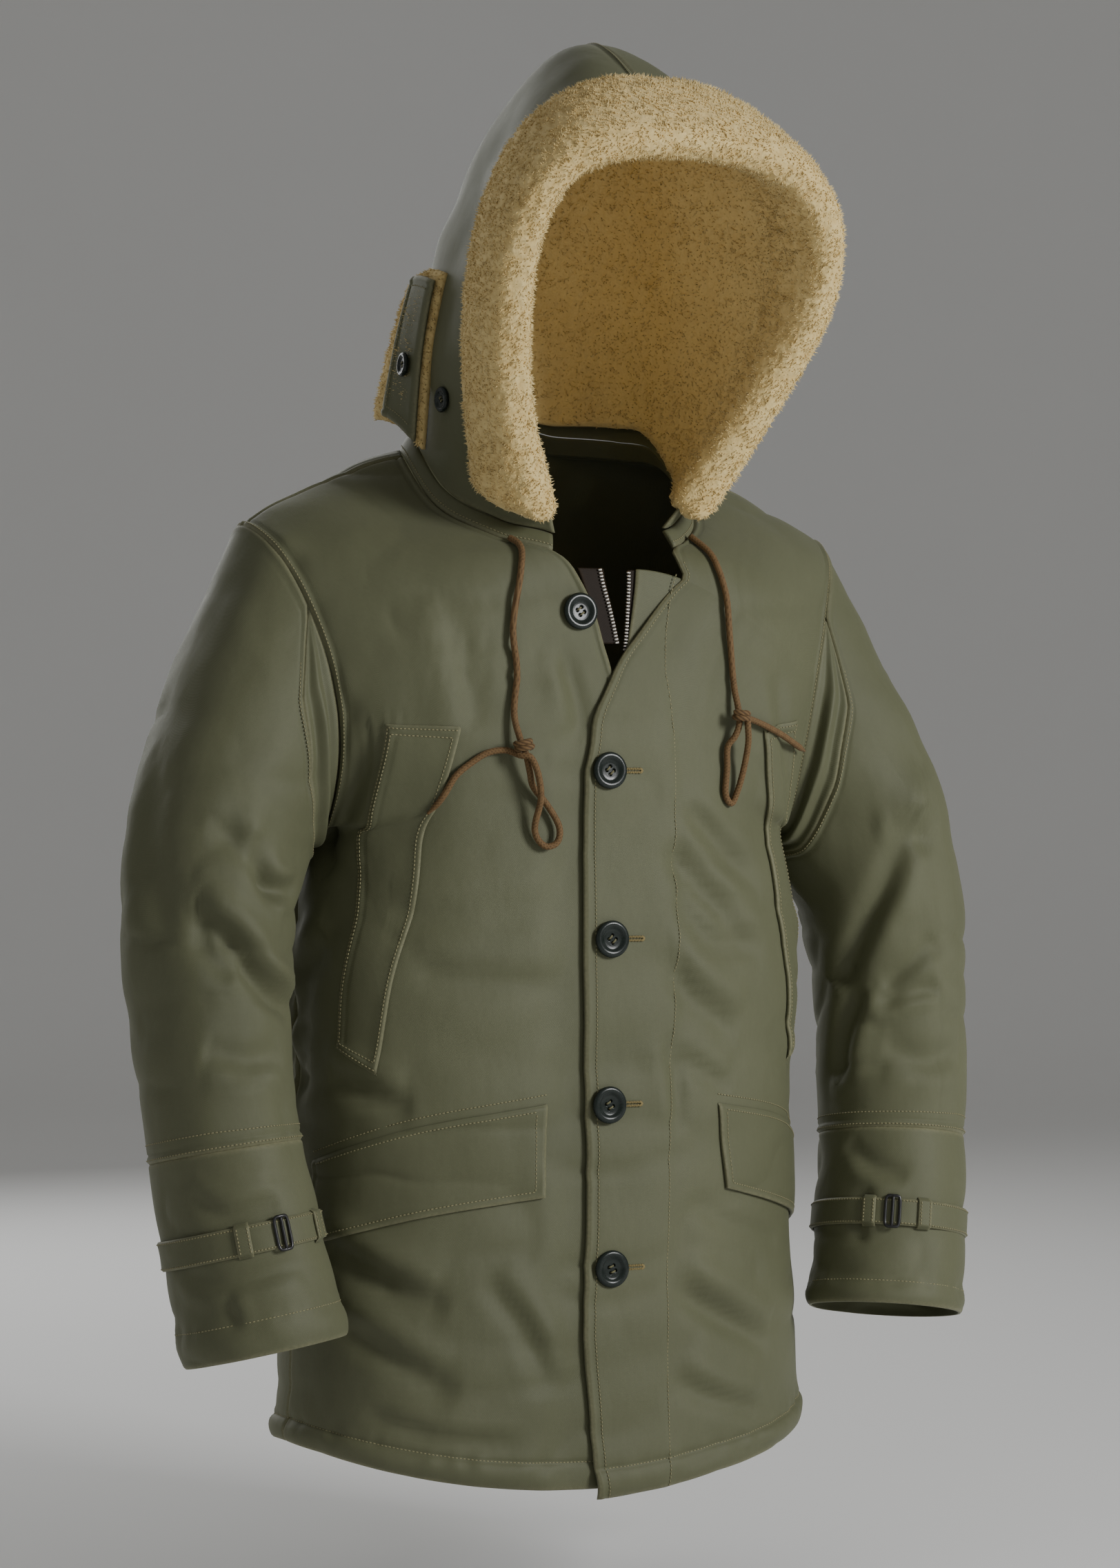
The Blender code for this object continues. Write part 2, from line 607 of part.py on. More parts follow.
def hood_lining():
    """The fur inside the hood: one piece over the crown, from the face edge back to where the hood narrows."""
    grids = []
    q = np.array([-0.03, 0, 0.07, 0.14, 0.235, 0.36, 0.52, 0.69, 0.80])
    for side in (1, -1):
        grid_q, grid_p = np.meshgrid(q, np.array([0.03, 0.18, 0.36, 0.54, 0.72, 0.87, 1.0]), indexing="ij")
        p = hood_ahead(grid_q, grid_p, side)
        n = hood_normal(grid_q, grid_p, side)
        n[:, -1, 0] = 0
        n = unit(n)
        p = p - n * 0.0045
        p[:, -1, 0] = 0
        grids.append((mirrored(p, side), mirrored(n, side)))
    return thicken("hood_lining", grids, 0.009)


def hood_ahead(q, p, side):
    """The hood's surface, carried straight on in front of the face edge where q is below zero."""
    at = hood(np.maximum(q, 0), p, side)
    slope = (hood(0 * q + 0.03, p, side) - hood(0 * q, p, side)) / 0.03
    return at + slope * np.minimum(q, 0)[..., None]


TRIM_REACH = np.array([(0, 0.25), (0.2, 0.215), (0.4, 0.20), (0.6, 0.185), (0.8, 0.160), (1.0, 0.142)])


def hood_trim():
    """The fur turned back round the face: a full rounded band on the outside of the hood's front edge."""
    angle = np.linspace(0, 2 * np.pi, 13)[:-1]
    across = np.sign(np.cos(angle)) * np.abs(np.cos(angle))**0.75
    height = 0.5 + 0.5 * np.sign(np.sin(angle)) * np.abs(np.sin(angle))**0.75
    rings = []
    p = np.concatenate([[0.02], HOOD_P[1:-1]])
    for side, places in ((1, p), (0, [1.0]), (-1, p[::-1])):
        for place in places:
            reach = np.interp(place, TRIM_REACH[:, 0], TRIM_REACH[:, 1])
            front_q = -0.036
            q = (front_q + reach) / 2 + (reach - front_q) / 2 * across
            half = 1 if side >= 0 else -1
            at = hood_ahead(q, np.full(q.shape, place), half)
            n = hood_normal(q, np.full(q.shape, place), half)
            if side == 0:
                at[:, 0] = 0
                n[:, 0] = 0
                n = unit(n)
            thick = 0.019 + 0.005 * np.sin(np.pi * place)
            ring = at + n * (0.0018 + thick * height)[:, None]
            rings.append(mirrored(ring, half))
    return tube("hood_trim", np.array(rings))


def cut_to(shape, corner_a, corner_b):
    """The part of a polygon on the left of a line, cut edge by edge."""
    kept = []
    for i in range(len(shape)):
        a, b = shape[i - 1], shape[i]
        side_a = np.cross(corner_b - corner_a, a - corner_a)
        side_b = np.cross(corner_b - corner_a, b - corner_a)
        if (side_a > 0) != (side_b > 0):
            kept.append(a + (b - a) * side_a / (side_a - side_b))
        if side_b > 0:
            kept.append(b)
    return kept


def patch(name, side, corners, steps, depth, lift):
    """Cloth lying on a front: the panel's own facets inside an outline, moved out by the lift and made solid."""
    near, far = (np.array(c, float) for c in corners)
    outline = np.concatenate([near, far[::-1]])
    s, t, p, n = PANEL[side]
    wall, face_sets = [], []
    h, w = s.shape
    place = np.stack([s, t], -1)
    for i in range(h - 1):
        for j in range(w - 1):
            cell = ((i, j), (i, j + 1), (i + 1, j + 1), (i + 1, j))
            for three in (cell[:3], (cell[0], cell[2], cell[3])):
                flat = np.array([place[k] for k in three])
                if np.cross(flat[1] - flat[0], flat[2] - flat[0]) < 0:
                    three = three[::-1]
                    flat = flat[::-1]
                shape = list(outline)
                for k in range(3):
                    if shape:
                        shape = cut_to(shape, flat[k], flat[(k + 1) % 3])
                if len(shape) < 3:
                    continue
                weights = np.linalg.solve(np.vstack([flat.T, np.ones(3)]),
                                          np.vstack([np.array(shape).T, np.ones(len(shape))])).T
                wall.append(np.hstack([weights @ np.array([p[k] for k in three]),
                                       weights @ np.array([n[k] for k in three])]))
                face_sets.append(len(shape))
    rows = np.vstack(wall)
    points, normals = mirrored(rows[:, :3], side), unit(mirrored(rows[:, 3:], side))
    _, index, where = np.unique(np.round(points, 6) + 0.0, axis=0, return_index=True, return_inverse=True)
    where = where.reshape(-1)
    faces, first = [], 0
    for size in face_sets:
        ring = [int(where[first + k]) for k in range(size)]
        ring = [a for k, a in enumerate(ring) if a != ring[k - 1]]
        first += size
        if len(ring) > 2:
            faces.append(ring)
    points, normals = points[index], normals[index]
    facing = sum(np.dot(np.cross(points[f[1]] - points[f[0]], points[f[2]] - points[f[0]]), normals[f[0]]) for f in faces)
    if facing < 0:
        faces = [f[::-1] for f in faces]
    count = len(points)
    edges = {(f[k - 1], f[k]) for f in faces for k in range(len(f))}
    solid = list(faces) + [[a + count for a in reversed(f)] for f in faces]
    solid += [[b, a, a + count, b + count] for a, b in sorted(edges) if (b, a) not in edges]
    return add_mesh(name, np.concatenate([points + normals * (lift + depth), points + normals * lift]), solid)


POCKET = {
    -1: (((0.460, 0.677), (0.475, 0.610), (0.480, 0.550), (0.482, 0.497), (0.545, 0.440), (0.600, 0.378)),
         ((0.790, 0.714), (0.783, 0.648), (0.725, 0.570), (0.690, 0.496), (0.735, 0.436), (0.750, 0.398))),
    1: (((0.560, 0.688), (0.555, 0.615), (0.535, 0.550), (0.520, 0.497), (0.560, 0.440), (0.610, 0.378)),
        ((0.830, 0.724), (0.820, 0.655), (0.775, 0.570), (0.735, 0.496), (0.765, 0.436), (0.780, 0.398))),
}
FLAP = {
    -1: (((0.140, 0.354), (0.511, 0.334), (0.880, 0.304)), ((0.152, 0.275), (0.480, 0.257), (0.880, 0.222))),
    1: (((0.256, 0.349), (0.560, 0.332), (0.880, 0.304)), ((0.290, 0.274), (0.560, 0.250), (0.880, 0.222))),
}


def inside_strip(name, side, t, near, far, depth, sink):
    """A strip under a front's edge: its two edges as distances from the centre line at each row."""
    row = smooth(ROWS[:, 0], ROWS[:, 1:], t)
    s = []
    for x in (near, far):
        s.append((np.array(x) - np.maximum(row[:, 0], 0)) / (3 * row[:, 3]))
    s = np.array(s).T
    s = s[:, :1] + (s[:, 1:] - s[:, :1]) * np.linspace(0, 1, 4)
    rows = np.broadcast_to(np.asarray(t)[:, None], s.shape)
    p = torso(s, rows)
    n = torso_normal(s, rows)
    return thicken(name, [(mirrored(p - n * sink, side), mirrored(n, side))], depth)


def button(name, at, normal, radius, height):
    """A turned button: flat back, rounded rim and a shallow dish on its face."""
    profile = np.array([(0.80, 0.0), (0.97, 0.20), (1.0, 0.55), (0.88, 1.0), (0.66, 0.80), (0.30, 0.66)])
    n = unit(np.asarray(normal, float))
    u = unit(np.cross(n, (0, 0, 1.0)))
    w = np.cross(n, u)
    turn = np.linspace(0, 2 * np.pi, 13)[:-1]
    circle = np.cos(turn)[:, None] * u + np.sin(turn)[:, None] * w
    rings = [at + radius * r * circle + n * height * h for r, h in profile]
    return tube(name, np.array(rings))


# where each button sits: node, side, place on the torso, radius, height
FRONT_BUTTONS = (
    ("button_top", -1, 0.051, 0.739, 0.0, 0.0143),
    ("button_chest", 1, -0.011, 0.611, 0.0, 0.0143),
    ("button_waist", 1, -0.009, 0.474, 0.0, 0.0143),
    ("button_hip", 1, -0.015, 0.352, 0.0, 0.0143),
    ("button_hem", 1, -0.010, 0.207, 0.0, 0.0143),
)

# each drawcord: place on the torso and height of its centre line above the cloth, down to the knot,
# round the loop, back through the knot and out to the free end
CORD_RIGHT = np.array([
    (0.020, 0.842, 0.0029), (0.10, 0.812, 0.0032), (0.20, 0.778, 0.0040), (0.279, 0.742, 0.0045), (0.283, 0.710, 0.0042),
    (0.284, 0.674, 0.0050), (0.262, 0.650, 0.0085), (0.240, 0.634, 0.0098), (0.222, 0.617, 0.0085),
    (0.203, 0.600, 0.0050), (0.161, 0.578, 0.0042), (0.128, 0.556, 0.0042), (0.131, 0.543, 0.0042),
    (0.161, 0.541, 0.0042), (0.186, 0.554, 0.0050), (0.186, 0.585, 0.0110), (0.205, 0.612, 0.0150),
    (0.232, 0.630, 0.0160), (0.258, 0.634, 0.0130), (0.275, 0.638, 0.0070), (0.300, 0.642, 0.0048),
    (0.350, 0.644, 0.0042), (0.395, 0.640, 0.0042), (0.444, 0.632, 0.0056), (0.467, 0.617, 0.0062), (0.503, 0.592, 0.0062),
])
CORD_LEFT = np.array([
    (0.020, 0.868, 0.0029), (0.12, 0.845, 0.0032), (0.24, 0.815, 0.0040), (0.342, 0.780, 0.0045), (0.385, 0.745, 0.0042),
    (0.405, 0.712, 0.0050), (0.404, 0.694, 0.0085), (0.398, 0.676, 0.0098), (0.376, 0.662, 0.0085),
    (0.351, 0.650, 0.0050), (0.342, 0.630, 0.0042), (0.325, 0.605, 0.0042), (0.330, 0.592, 0.0042), (0.348, 0.590, 0.0042),
    (0.372, 0.608, 0.0050), (0.396, 0.634, 0.0090), (0.412, 0.660, 0.0140), (0.412, 0.674, 0.0160),
    (0.430, 0.682, 0.0125), (0.465, 0.686, 0.0066), (0.544, 0.689, 0.0062), (0.650, 0.692, 0.0062),
    (0.760, 0.694, 0.0062), (0.860, 0.696, 0.0062),
])
CORD_RADIUS = 0.0025


def cord(name, side, table):
    along = np.linspace(0, 1, len(table))
    fine = np.linspace(0, 1, 5 * len(table) // 2)
    row = smooth(along, table, fine)
    p = torso(row[:, 0], row[:, 1]) + torso_normal(row[:, 0], row[:, 1]) * row[:, 2:3]
    p = mirrored(p, side)
    curve = bpy.data.curves.new(name, "CURVE")
    curve.dimensions = "3D"
    curve.bevel_depth = CORD_RADIUS
    curve.bevel_resolution = 1
    curve.use_fill_caps = True
    spline = curve.splines.new("POLY")
    spline.points.add(len(p) - 1)
    spline.points.foreach_set("co", np.hstack([p, np.ones((len(p), 1))]).ravel())
    thing = bpy.data.objects.new(name, curve)
    bpy.context.scene.collection.objects.link(thing)
    print(name, "length", round(float(np.linalg.norm(np.diff(p, axis=0), axis=1).sum()), 3))
    return thing


def chin_tab():
    """The strap that would close under the chin, folded back at the hood's right side with its fur outward."""
    q = np.linspace(0.47, 0.64, 5)
    p = np.linspace(0.02, 0.30, 6)
    grid_q, grid_p = np.meshgrid(q, p, indexing="ij")
    at = hood(grid_q, grid_p, -1)
    n = hood_normal(grid_q, grid_p, -1)
    a = (grid_q - q[0]) / (q[-1] - q[0])
    b = (grid_p - p[0]) / (p[-1] - p[0])
    stand = 0.0008 + a**1.5 * (0.007 + 0.016 * (1 - b))
    shell = at + n * (stand + 0.0022)[..., None]
    thicken("chin_tab", [(mirrored(shell, -1), mirrored(n, -1))], 0.0022)
    edge = np.minimum(np.minimum(a, 1 - a), np.minimum(b, 1 - b))
    fur = at + n * (stand + 0.0025)[..., None]
    full = 0.006 + 0.005 * np.clip(edge / 0.25, 0, 1)
    thicken_between("chin_tab_fur", mirrored(fur, -1), mirrored(fur + n * full[..., None], -1))


def thicken_between(name, under, over):
    """A closed body between two grids of points."""
    h, w = under.shape[:2]
    k = np.arange(h * w).reshape(h, w)
    faces = []
    for i in range(h - 1):
        for j in range(w - 1):
            faces.append([k[i, j], k[i, j + 1], k[i + 1, j + 1], k[i + 1, j]])
            faces.append([a + h * w for a in reversed(faces[-1])])
    rim = [k[0, j] for j in range(w)] + [k[i, w - 1] for i in range(1, h)]
    rim += [k[h - 1, j] for j in range(w - 2, -1, -1)] + [k[i, 0] for i in range(h - 2, 0, -1)]
    for i, a in enumerate(rim):
        b = rim[i - 1]
        faces.append([a, b, b + h * w, a + h * w])
    points = np.concatenate([under.reshape(-1, 3), over.reshape(-1, 3)])
    volume = 0
    for f in faces:
        for i in range(1, len(f) - 1):
            volume += np.dot(points[f[0]], np.cross(points[f[i]], points[f[i + 1]]))
    if volume < 0:
        faces = [f[::-1] for f in faces]
    return add_mesh(name, points, faces)


def build():
    for thing in list(bpy.data.objects):
        bpy.data.objects.remove(thing)
    for side, tag in ((1, "left"), (-1, "right")):
        front(side)
        arms(side, tag)
        cuff_strap(side, tag)
        hood_half(side, tag)
        patch("chest_pocket_" + tag, side, POCKET[side], (9, 5), 0.0020, 0.0006)
        patch("flap_" + tag, side, FLAP[side], (10, 4), 0.0024, 0.0006)
    back()
    neck_band()
    hood_lining()
    hood_trim()
    chin_tab()
    t = np.array([0.706, 0.722, 0.742, 0.760, 0.776])
    inside_strip("fly_left", 1, t, (0.0165, 0.020, 0.024, 0.027, 0.029), (0.026, 0.042, 0.060, 0.076, 0.086), 0.0018, 0.0035)
    t = np.array([0.712, 0.728, 0.744, 0.760, 0.776])
    inside_strip("zip_tape_left", 1, t, (0.0165, 0.0185, 0.0200, 0.0215, 0.0225),
                 (0.0255, 0.030, 0.033, 0.035, 0.036), 0.0016, 0.0058)
    t = np.array([0.7165, 0.730, 0.745, 0.760, 0.776])
    inside_strip("zip_tape_right", -1, t, (-0.0115, -0.0085, -0.0050, -0.0015, 0.0000),
                 (0.0050, 0.0080, 0.0130, 0.0180, 0.0220), 0.0016, 0.0035)
    for name, side, s, t, _, radius in FRONT_BUTTONS:
        s, t = np.array(s), np.array(t)
        n = torso_normal(s, t)
        button(name, mirrored(torso(s, t) + n * 0.0006, side), mirrored(n, side), radius, 0.0045)
    q, p = np.array(0.385), np.array(0.125)
    n = hood_normal(q, p, -1)
    button("button_hood", mirrored(hood(q, p, -1) + n * 0.0001, -1), mirrored(n, -1), 0.0100, 0.0038)
    q, p = np.array(0.605), np.array(0.16)
    n = hood_normal(q, p, -1)
    a, b = (0.605 - 0.47) / 0.17, (0.16 - 0.02) / 0.28
    stand = 0.0008 + a**1.5 * (0.007 + 0.016 * (1 - b))
    at = hood(q, p, -1) + n * (stand - 0.0038)
    button("button_tab", mirrored(at, -1), mirrored(-n, -1), 0.0100, 0.0038)
    cord("drawcord_right", -1, CORD_RIGHT)
    cord("drawcord_left", 1, CORD_LEFT)


build()
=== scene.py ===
# %% [markdown]
# # A hooded flight parka
# The parka hangs as it is worn, with nobody in it. The imported solids are loaded first and never moved:
# every piece below is laid on the same form as its solid, so it only adds what a solid leaves out, such
# as folds, stitching, wool and braid. All lengths are in metres, Z is up and +X is the wearer's left.

# %% Load the solids
import json
import bpy
import numpy as np
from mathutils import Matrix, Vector

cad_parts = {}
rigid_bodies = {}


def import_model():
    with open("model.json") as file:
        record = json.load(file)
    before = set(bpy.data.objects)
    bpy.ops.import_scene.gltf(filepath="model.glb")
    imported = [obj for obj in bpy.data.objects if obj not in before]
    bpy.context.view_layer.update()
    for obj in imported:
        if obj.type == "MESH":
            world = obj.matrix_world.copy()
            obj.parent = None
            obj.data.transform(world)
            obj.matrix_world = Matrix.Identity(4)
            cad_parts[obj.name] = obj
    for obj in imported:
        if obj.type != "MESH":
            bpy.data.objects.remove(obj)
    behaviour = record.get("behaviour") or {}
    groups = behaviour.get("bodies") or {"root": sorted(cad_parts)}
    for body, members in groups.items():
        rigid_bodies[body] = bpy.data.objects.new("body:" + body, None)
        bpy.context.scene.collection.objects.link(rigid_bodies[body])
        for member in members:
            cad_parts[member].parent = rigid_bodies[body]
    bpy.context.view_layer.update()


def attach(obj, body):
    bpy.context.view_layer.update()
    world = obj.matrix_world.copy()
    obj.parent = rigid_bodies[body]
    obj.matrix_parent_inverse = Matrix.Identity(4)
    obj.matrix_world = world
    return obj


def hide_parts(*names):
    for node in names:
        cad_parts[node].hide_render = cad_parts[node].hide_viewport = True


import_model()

# %% [markdown]
# ## Camera
# A long lens far away keeps a garment's proportions. The parka is seen from 27 degrees to its right,
# level with the chest, and the frame is taller than it is wide, so the lens is worked out on the long
# side of the sensor.

# %% Place the camera
VIEW_TURN = np.radians(-27)
VIEW_RIGHT = Vector((np.cos(VIEW_TURN), np.sin(VIEW_TURN), 0))
VIEW_BACK = Vector((np.sin(VIEW_TURN), -np.cos(VIEW_TURN), 0))
LOOK_AT = Vector((0.01554, -0.00792, -0.26269))
VIEW_AWAY = 3.2
LENS_MM = 92.95
lens = bpy.data.cameras.new("camera")
lens.sensor_width = 36
lens.lens = LENS_MM
camera = bpy.data.objects.new("camera", lens)
camera.location = LOOK_AT + VIEW_AWAY * VIEW_BACK
camera.rotation_euler = (np.pi / 2, 0, VIEW_TURN)
bpy.context.scene.collection.objects.link(camera)
bpy.context.scene.camera = camera
print("camera", [round(x, 3) for x in camera.location], "lens", lens.lens, "mm")

# %% [markdown]
# ## Light
# Cloth shows its folds when one broad light comes from the side and above and the rest is only filled in.
# Three soft boxes do that here: a key at the camera's right, a weak fill at its left, and one high behind
# that separates the hood and shoulders from the pale room.


# %% Hang the soft boxes
# columns: name, place to the right, toward the camera and up, size, watts
SOFT_BOXES = (
    ("key", 2.35, 1.55, 0.8, 0.8, 64),
    ("fill", -2.4, 1.8, 0.2, 2.2, 5),
    ("rim", -1.2, -2.4, 1.2, 2.0, 34),
)
ROOM_COLOUR = (0.84, 0.83, 0.81, 1)
ROOM_LIGHT = 0.30


def soft_box(name, right, toward, up, size, watts):
    """An area light at a place counted from the chest in the camera's own directions, aimed at the chest."""
    lamp = bpy.data.lights.new(name, "AREA")
    lamp.shape = "SQUARE"
    lamp.size = size
    lamp.energy = watts
    thing = bpy.data.objects.new(name, lamp)
    place = VIEW_RIGHT * right + VIEW_BACK * toward + Vector((0, 0, up))
    thing.location = LOOK_AT + place
    thing.rotation_euler = (-place).to_track_quat("-Z", "Y").to_euler()
    bpy.context.scene.collection.objects.link(thing)


for row in SOFT_BOXES:
    soft_box(*row)
room = bpy.data.worlds.new("room")
room.use_nodes = True
room.node_tree.nodes["Background"].inputs[0].default_value = ROOM_COLOUR
room.node_tree.nodes["Background"].inputs[1].default_value = ROOM_LIGHT
bpy.context.scene.world = room
print("lights: key, fill, rim and a dim pale room")

# %% [markdown]
# ## Meshes from arrays
# Every new piece is a grid of points worked out by one formula. These helpers turn arrays into Blender
# meshes: the points and faces go in whole, and the map of each face's corners (its UV) is kept in metres
# so that a weave has its real size on every piece.


# %% Put arrays into a mesh
def unit(v):
    """Each vector divided by its own length."""
    return v / np.maximum(np.linalg.norm(v, axis=-1, keepdims=True), 1e-12)


def lay_mesh(name, points, face_sets, corner_uv=None, marks=None):
    """A smooth-shaded mesh object at the origin; face_sets are arrays of quads or triangles."""
    faces = [face for faces_of_one_kind in face_sets for face in faces_of_one_kind.tolist()]
    mesh = bpy.data.meshes.new(name)
    mesh.from_pydata(points.tolist(), [], faces)
    mesh.polygons.foreach_set("use_smooth", np.ones(len(faces), bool))
    if corner_uv is not None:
        layer = mesh.uv_layers.new(name="UVMap")
        layer.data.foreach_set("uv", np.ascontiguousarray(corner_uv, float).ravel())
    for mark, values in (marks or {}).items():
        attribute = mesh.attributes.new(mark, "FLOAT", "POINT")
        attribute.data.foreach_set("value", np.ascontiguousarray(values, float))
    mesh.update()
    thing = bpy.data.objects.new(name, mesh)
    bpy.context.scene.collection.objects.link(thing)
    return thing


def dress(thing, finish, nodes=(), body="root"):
    """Give a piece its finish, let it ride on the parka and hide the solids that it stands for."""
    thing.data.materials.append(finish)
    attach(thing, body)
    if nodes:
        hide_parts(*nodes)
    return thing


# %% [markdown]
# Noise gives cloth and wool their irregularity. It is written here in numpy so that it moves real points:
# a number for each corner of a lattice of cells, blended inside the cell, or the distance to the nearest
# of many scattered seeds, which makes rounded lumps like curls of wool.


# %% Noise in space
def corner_number(i, j, k, seed):
    """A repeatable number from 0 to 1 for each whole-number corner: products, shifts, lowest 16 bits."""
    h = (i * 374761393 + j * 668265263 + k * 2147483647 + seed * 1274126177) & 0xFFFFFFFF
    h = ((h ^ (h >> 13)) * 1103515245) & 0xFFFFFFFF
    return ((h ^ (h >> 16)) & 0xFFFF) / 65535.0


def drift(points, size, seed=0):
    """Soft noise from -1 to 1: the eight corner numbers of a cell, blended by f*f*(3-2f) along each axis."""
    place = np.asarray(points) / size + 400.0
    cell = np.floor(place).astype(np.int64)
    f = place - cell
    f = f * f * (3 - 2 * f)
    total = 0.0
    for a in (0, 1):
        for b in (0, 1):
            for c in (0, 1):
                corner = cell + (a, b, c)
                weight = np.abs(1 - a - f[..., 0]) * np.abs(1 - b - f[..., 1]) * np.abs(1 - c - f[..., 2])
                number = corner_number(corner[..., 0], corner[..., 1], corner[..., 2], seed)
                total = total + weight * number
    return 2 * total - 1


def crinkle(points, seed=0):
    """Soft noise folded at zero, so that it has sharp valleys; they run mostly level, as on a worn coat."""
    bent = points * (0.40, 0.40, 1.25) + 0.012 * drift(points, 0.05, seed + 7)[..., None]
    return 1 - 2.2 * np.exp(-np.abs(drift(bent, 0.042, seed + 2)) * 3.2)


def lumps(points, size, seed=0):
    """Distance to the nearest scattered seed, one in each cell, as a share of the cell: 0 on a seed."""
    place = np.asarray(points) / size + 400.0
    cell = np.floor(place).astype(np.int64)
    nearest = np.full(place.shape[:-1], 9.0)
    for a in (-1, 0, 1):
        for b in (-1, 0, 1):
            for c in (-1, 0, 1):
                i, j, k = cell[..., 0] + a, cell[..., 1] + b, cell[..., 2] + c
                spot = np.stack([i + corner_number(i, j, k, seed), j + corner_number(i, j, k, seed + 1),
                                 k + corner_number(i, j, k, seed + 2)], -1)
                nearest = np.minimum(nearest, ((place - spot)**2).sum(-1))
    return np.sqrt(nearest)


# %% [markdown]
# ## The pattern of the parka
# A coat is drawn as rows. Each row of the body is one cubic curve from the centre line to the side seam
# or the armhole, and the rows follow one another from the front hem, over the shoulder, to the back hem.
# These tables are the same as the solids', so cloth laid by them lands exactly where the solids are.


# %% A smooth curve through a table
def smooth(knots, values, at):
    """Cubic through the rows of a table; each row's slope is the weighted mean of its two neighbours'."""
    knots = np.asarray(knots, float)
    values = np.asarray(values, float)
    step = np.diff(knots)[:, None]
    rate = np.diff(values, axis=0) / step
    slope = np.empty_like(values)
    slope[0] = rate[0]
    slope[-1] = rate[-1]
    slope[1:-1] = (rate[:-1] * step[1:] + rate[1:] * step[:-1]) / (step[1:] + step[:-1])
    at = np.clip(np.asarray(at, float), knots[0], knots[-1])
    k = np.clip(np.searchsorted(knots, at, side="right") - 1, 0, len(knots) - 2)
    h = step[k]
    f = (at - knots[k])[..., None] / h
    return ((2 * f**3 - 3 * f**2 + 1) * values[k] + (f**3 - 2 * f**2 + f) * h * slope[k]
            + (3 * f**2 - 2 * f**3) * values[k + 1] + (f**3 - f**2) * h * slope[k + 1])


def line_value(knots, values, at):
    """The same cubic for a single column."""
    return smooth(knots, np.asarray(values, float)[:, None], at)[..., 0]


def ease(f):
    """0 below 0, 1 above 1, and f*f*(3-2f) between."""
    f = np.clip(f, 0, 1)
    return f * f * (3 - 2 * f)


# %% The body's rows
# columns: row, z, half width, y of the side seam, front depth, back depth, squareness, rise at the side
TRUNK = np.array([
    (0.00, -0.799, 0.219, -0.004, 0.133, 0.120, 0.64, 0.034),
    (0.12, -0.700, 0.214, -0.004, 0.132, 0.118, 0.64, 0.017),
    (0.27, -0.580, 0.210, -0.004, 0.130, 0.117, 0.65, 0.003),
    (0.40, -0.460, 0.211, -0.004, 0.129, 0.116, 0.68, 0.000),
    (0.47, -0.385, 0.211, -0.003, 0.129, 0.117, 0.70, 0.000),
])
# columns: row, turn at the armhole, inner x, y, z, reach in, drop in, heading out, drop out, reach out
YOKE_FRONT = (
    (0.54, 180, 0.0, -0.1275, -0.310, 0.132, 0.00, 90, 0.00, 0.080),
    (0.62, 145, 0.0, -0.1265, -0.245, 0.118, 0.00, 76, 0.00, 0.058),
    (0.70, 112, 0.0, -0.1215, -0.172, 0.105, 0.00, 56, 0.05, 0.060),
    (0.78, 84, 0.029, -0.114, -0.094, 0.080, 0.00, 42, 0.10, 0.062),
    (0.86, 55, 0.081, -0.091, -0.074, 0.056, 0.04, 30, 0.26, 0.052),
    (0.94, 28, 0.113, -0.047, -0.047, 0.045, 0.12, 14, 0.50, 0.045),
    (1.00, 0, 0.115, 0.004, -0.008, 0.047, 0.16, 0, 0.64, 0.047),
)
YOKE_BACK = (
    (1.06, -24, 0.098, 0.042, 0.001, 0.052, 0.14, -12, 0.52, 0.048),
    (1.13, -48, 0.052, 0.068, 0.005, 0.066, 0.08, -26, 0.34, 0.052),
    (1.21, -74, 0.0, 0.074, 0.007, 0.088, 0.02, -38, 0.14, 0.062),
    (1.30, -105, 0.0, 0.103, -0.075, 0.102, 0.00, -52, 0.05, 0.060),
    (1.39, -142, 0.0, 0.115, -0.190, 0.118, 0.00, -74, 0.00, 0.062),
    (1.46, -180, 0.0, 0.1165, -0.310, 0.132, 0.00, -90, 0.00, 0.080),
)


def armhole(turn):
    """The ring where the sleeve starts: a tilted oval, by the turn from the shoulder, front positive."""
    c = np.cos(np.radians(turn))
    s = np.sin(np.radians(turn))
    x = 0.2275 + 0.0255 * c - 0.019 * s**2
    y = -np.where(s > 0, 0.075, 0.085) * s
    return np.stack([x, y, -0.190 + 0.125 * c], -1)


def torso_rows():
    """Every row as its inner end, inner handle, outer end and outer handle."""
    rows = []
    for row, z, half, side_y, front, back, square, rise in TRUNK:
        for mirror, depth in ((row, -front), (2 - row, back)):
            rows.append((mirror, 0, depth, z, square * half, 0, 0, half, side_y, z + rise,
                         0, square * (side_y - depth), 0))
    for row, turn, x, y, z, reach, drop, heading, fall, out in YOKE_FRONT + YOKE_BACK:
        aim = np.radians(heading)
        along = unit(np.array((np.cos(aim), np.sin(aim), -fall)))
        handle = reach * unit(np.array((1, 0, -drop)))
        rows.append((row, x, y, z, *handle, *armhole(np.array(float(turn))), *(out * along)))
    rows = np.array(sorted(rows))
    k = int(np.flatnonzero(rows[:, 0] == 0.54)[0])
    m = int(np.flatnonzero(rows[:, 0] == 1.46)[0])
    near = rows[k - 1] + (rows[k] - rows[k - 1]) * 0.93
    far = rows[m + 1] + (rows[m] - rows[m + 1]) * 0.93
    return np.vstack([rows[:k], near, rows[k:m + 1], far, rows[m + 1:]])


ROWS = torso_rows()
TURN_ROWS = np.array([(r[0], r[1]) for r in (YOKE_FRONT + YOKE_BACK)], float)
print("body rows:", len(ROWS))


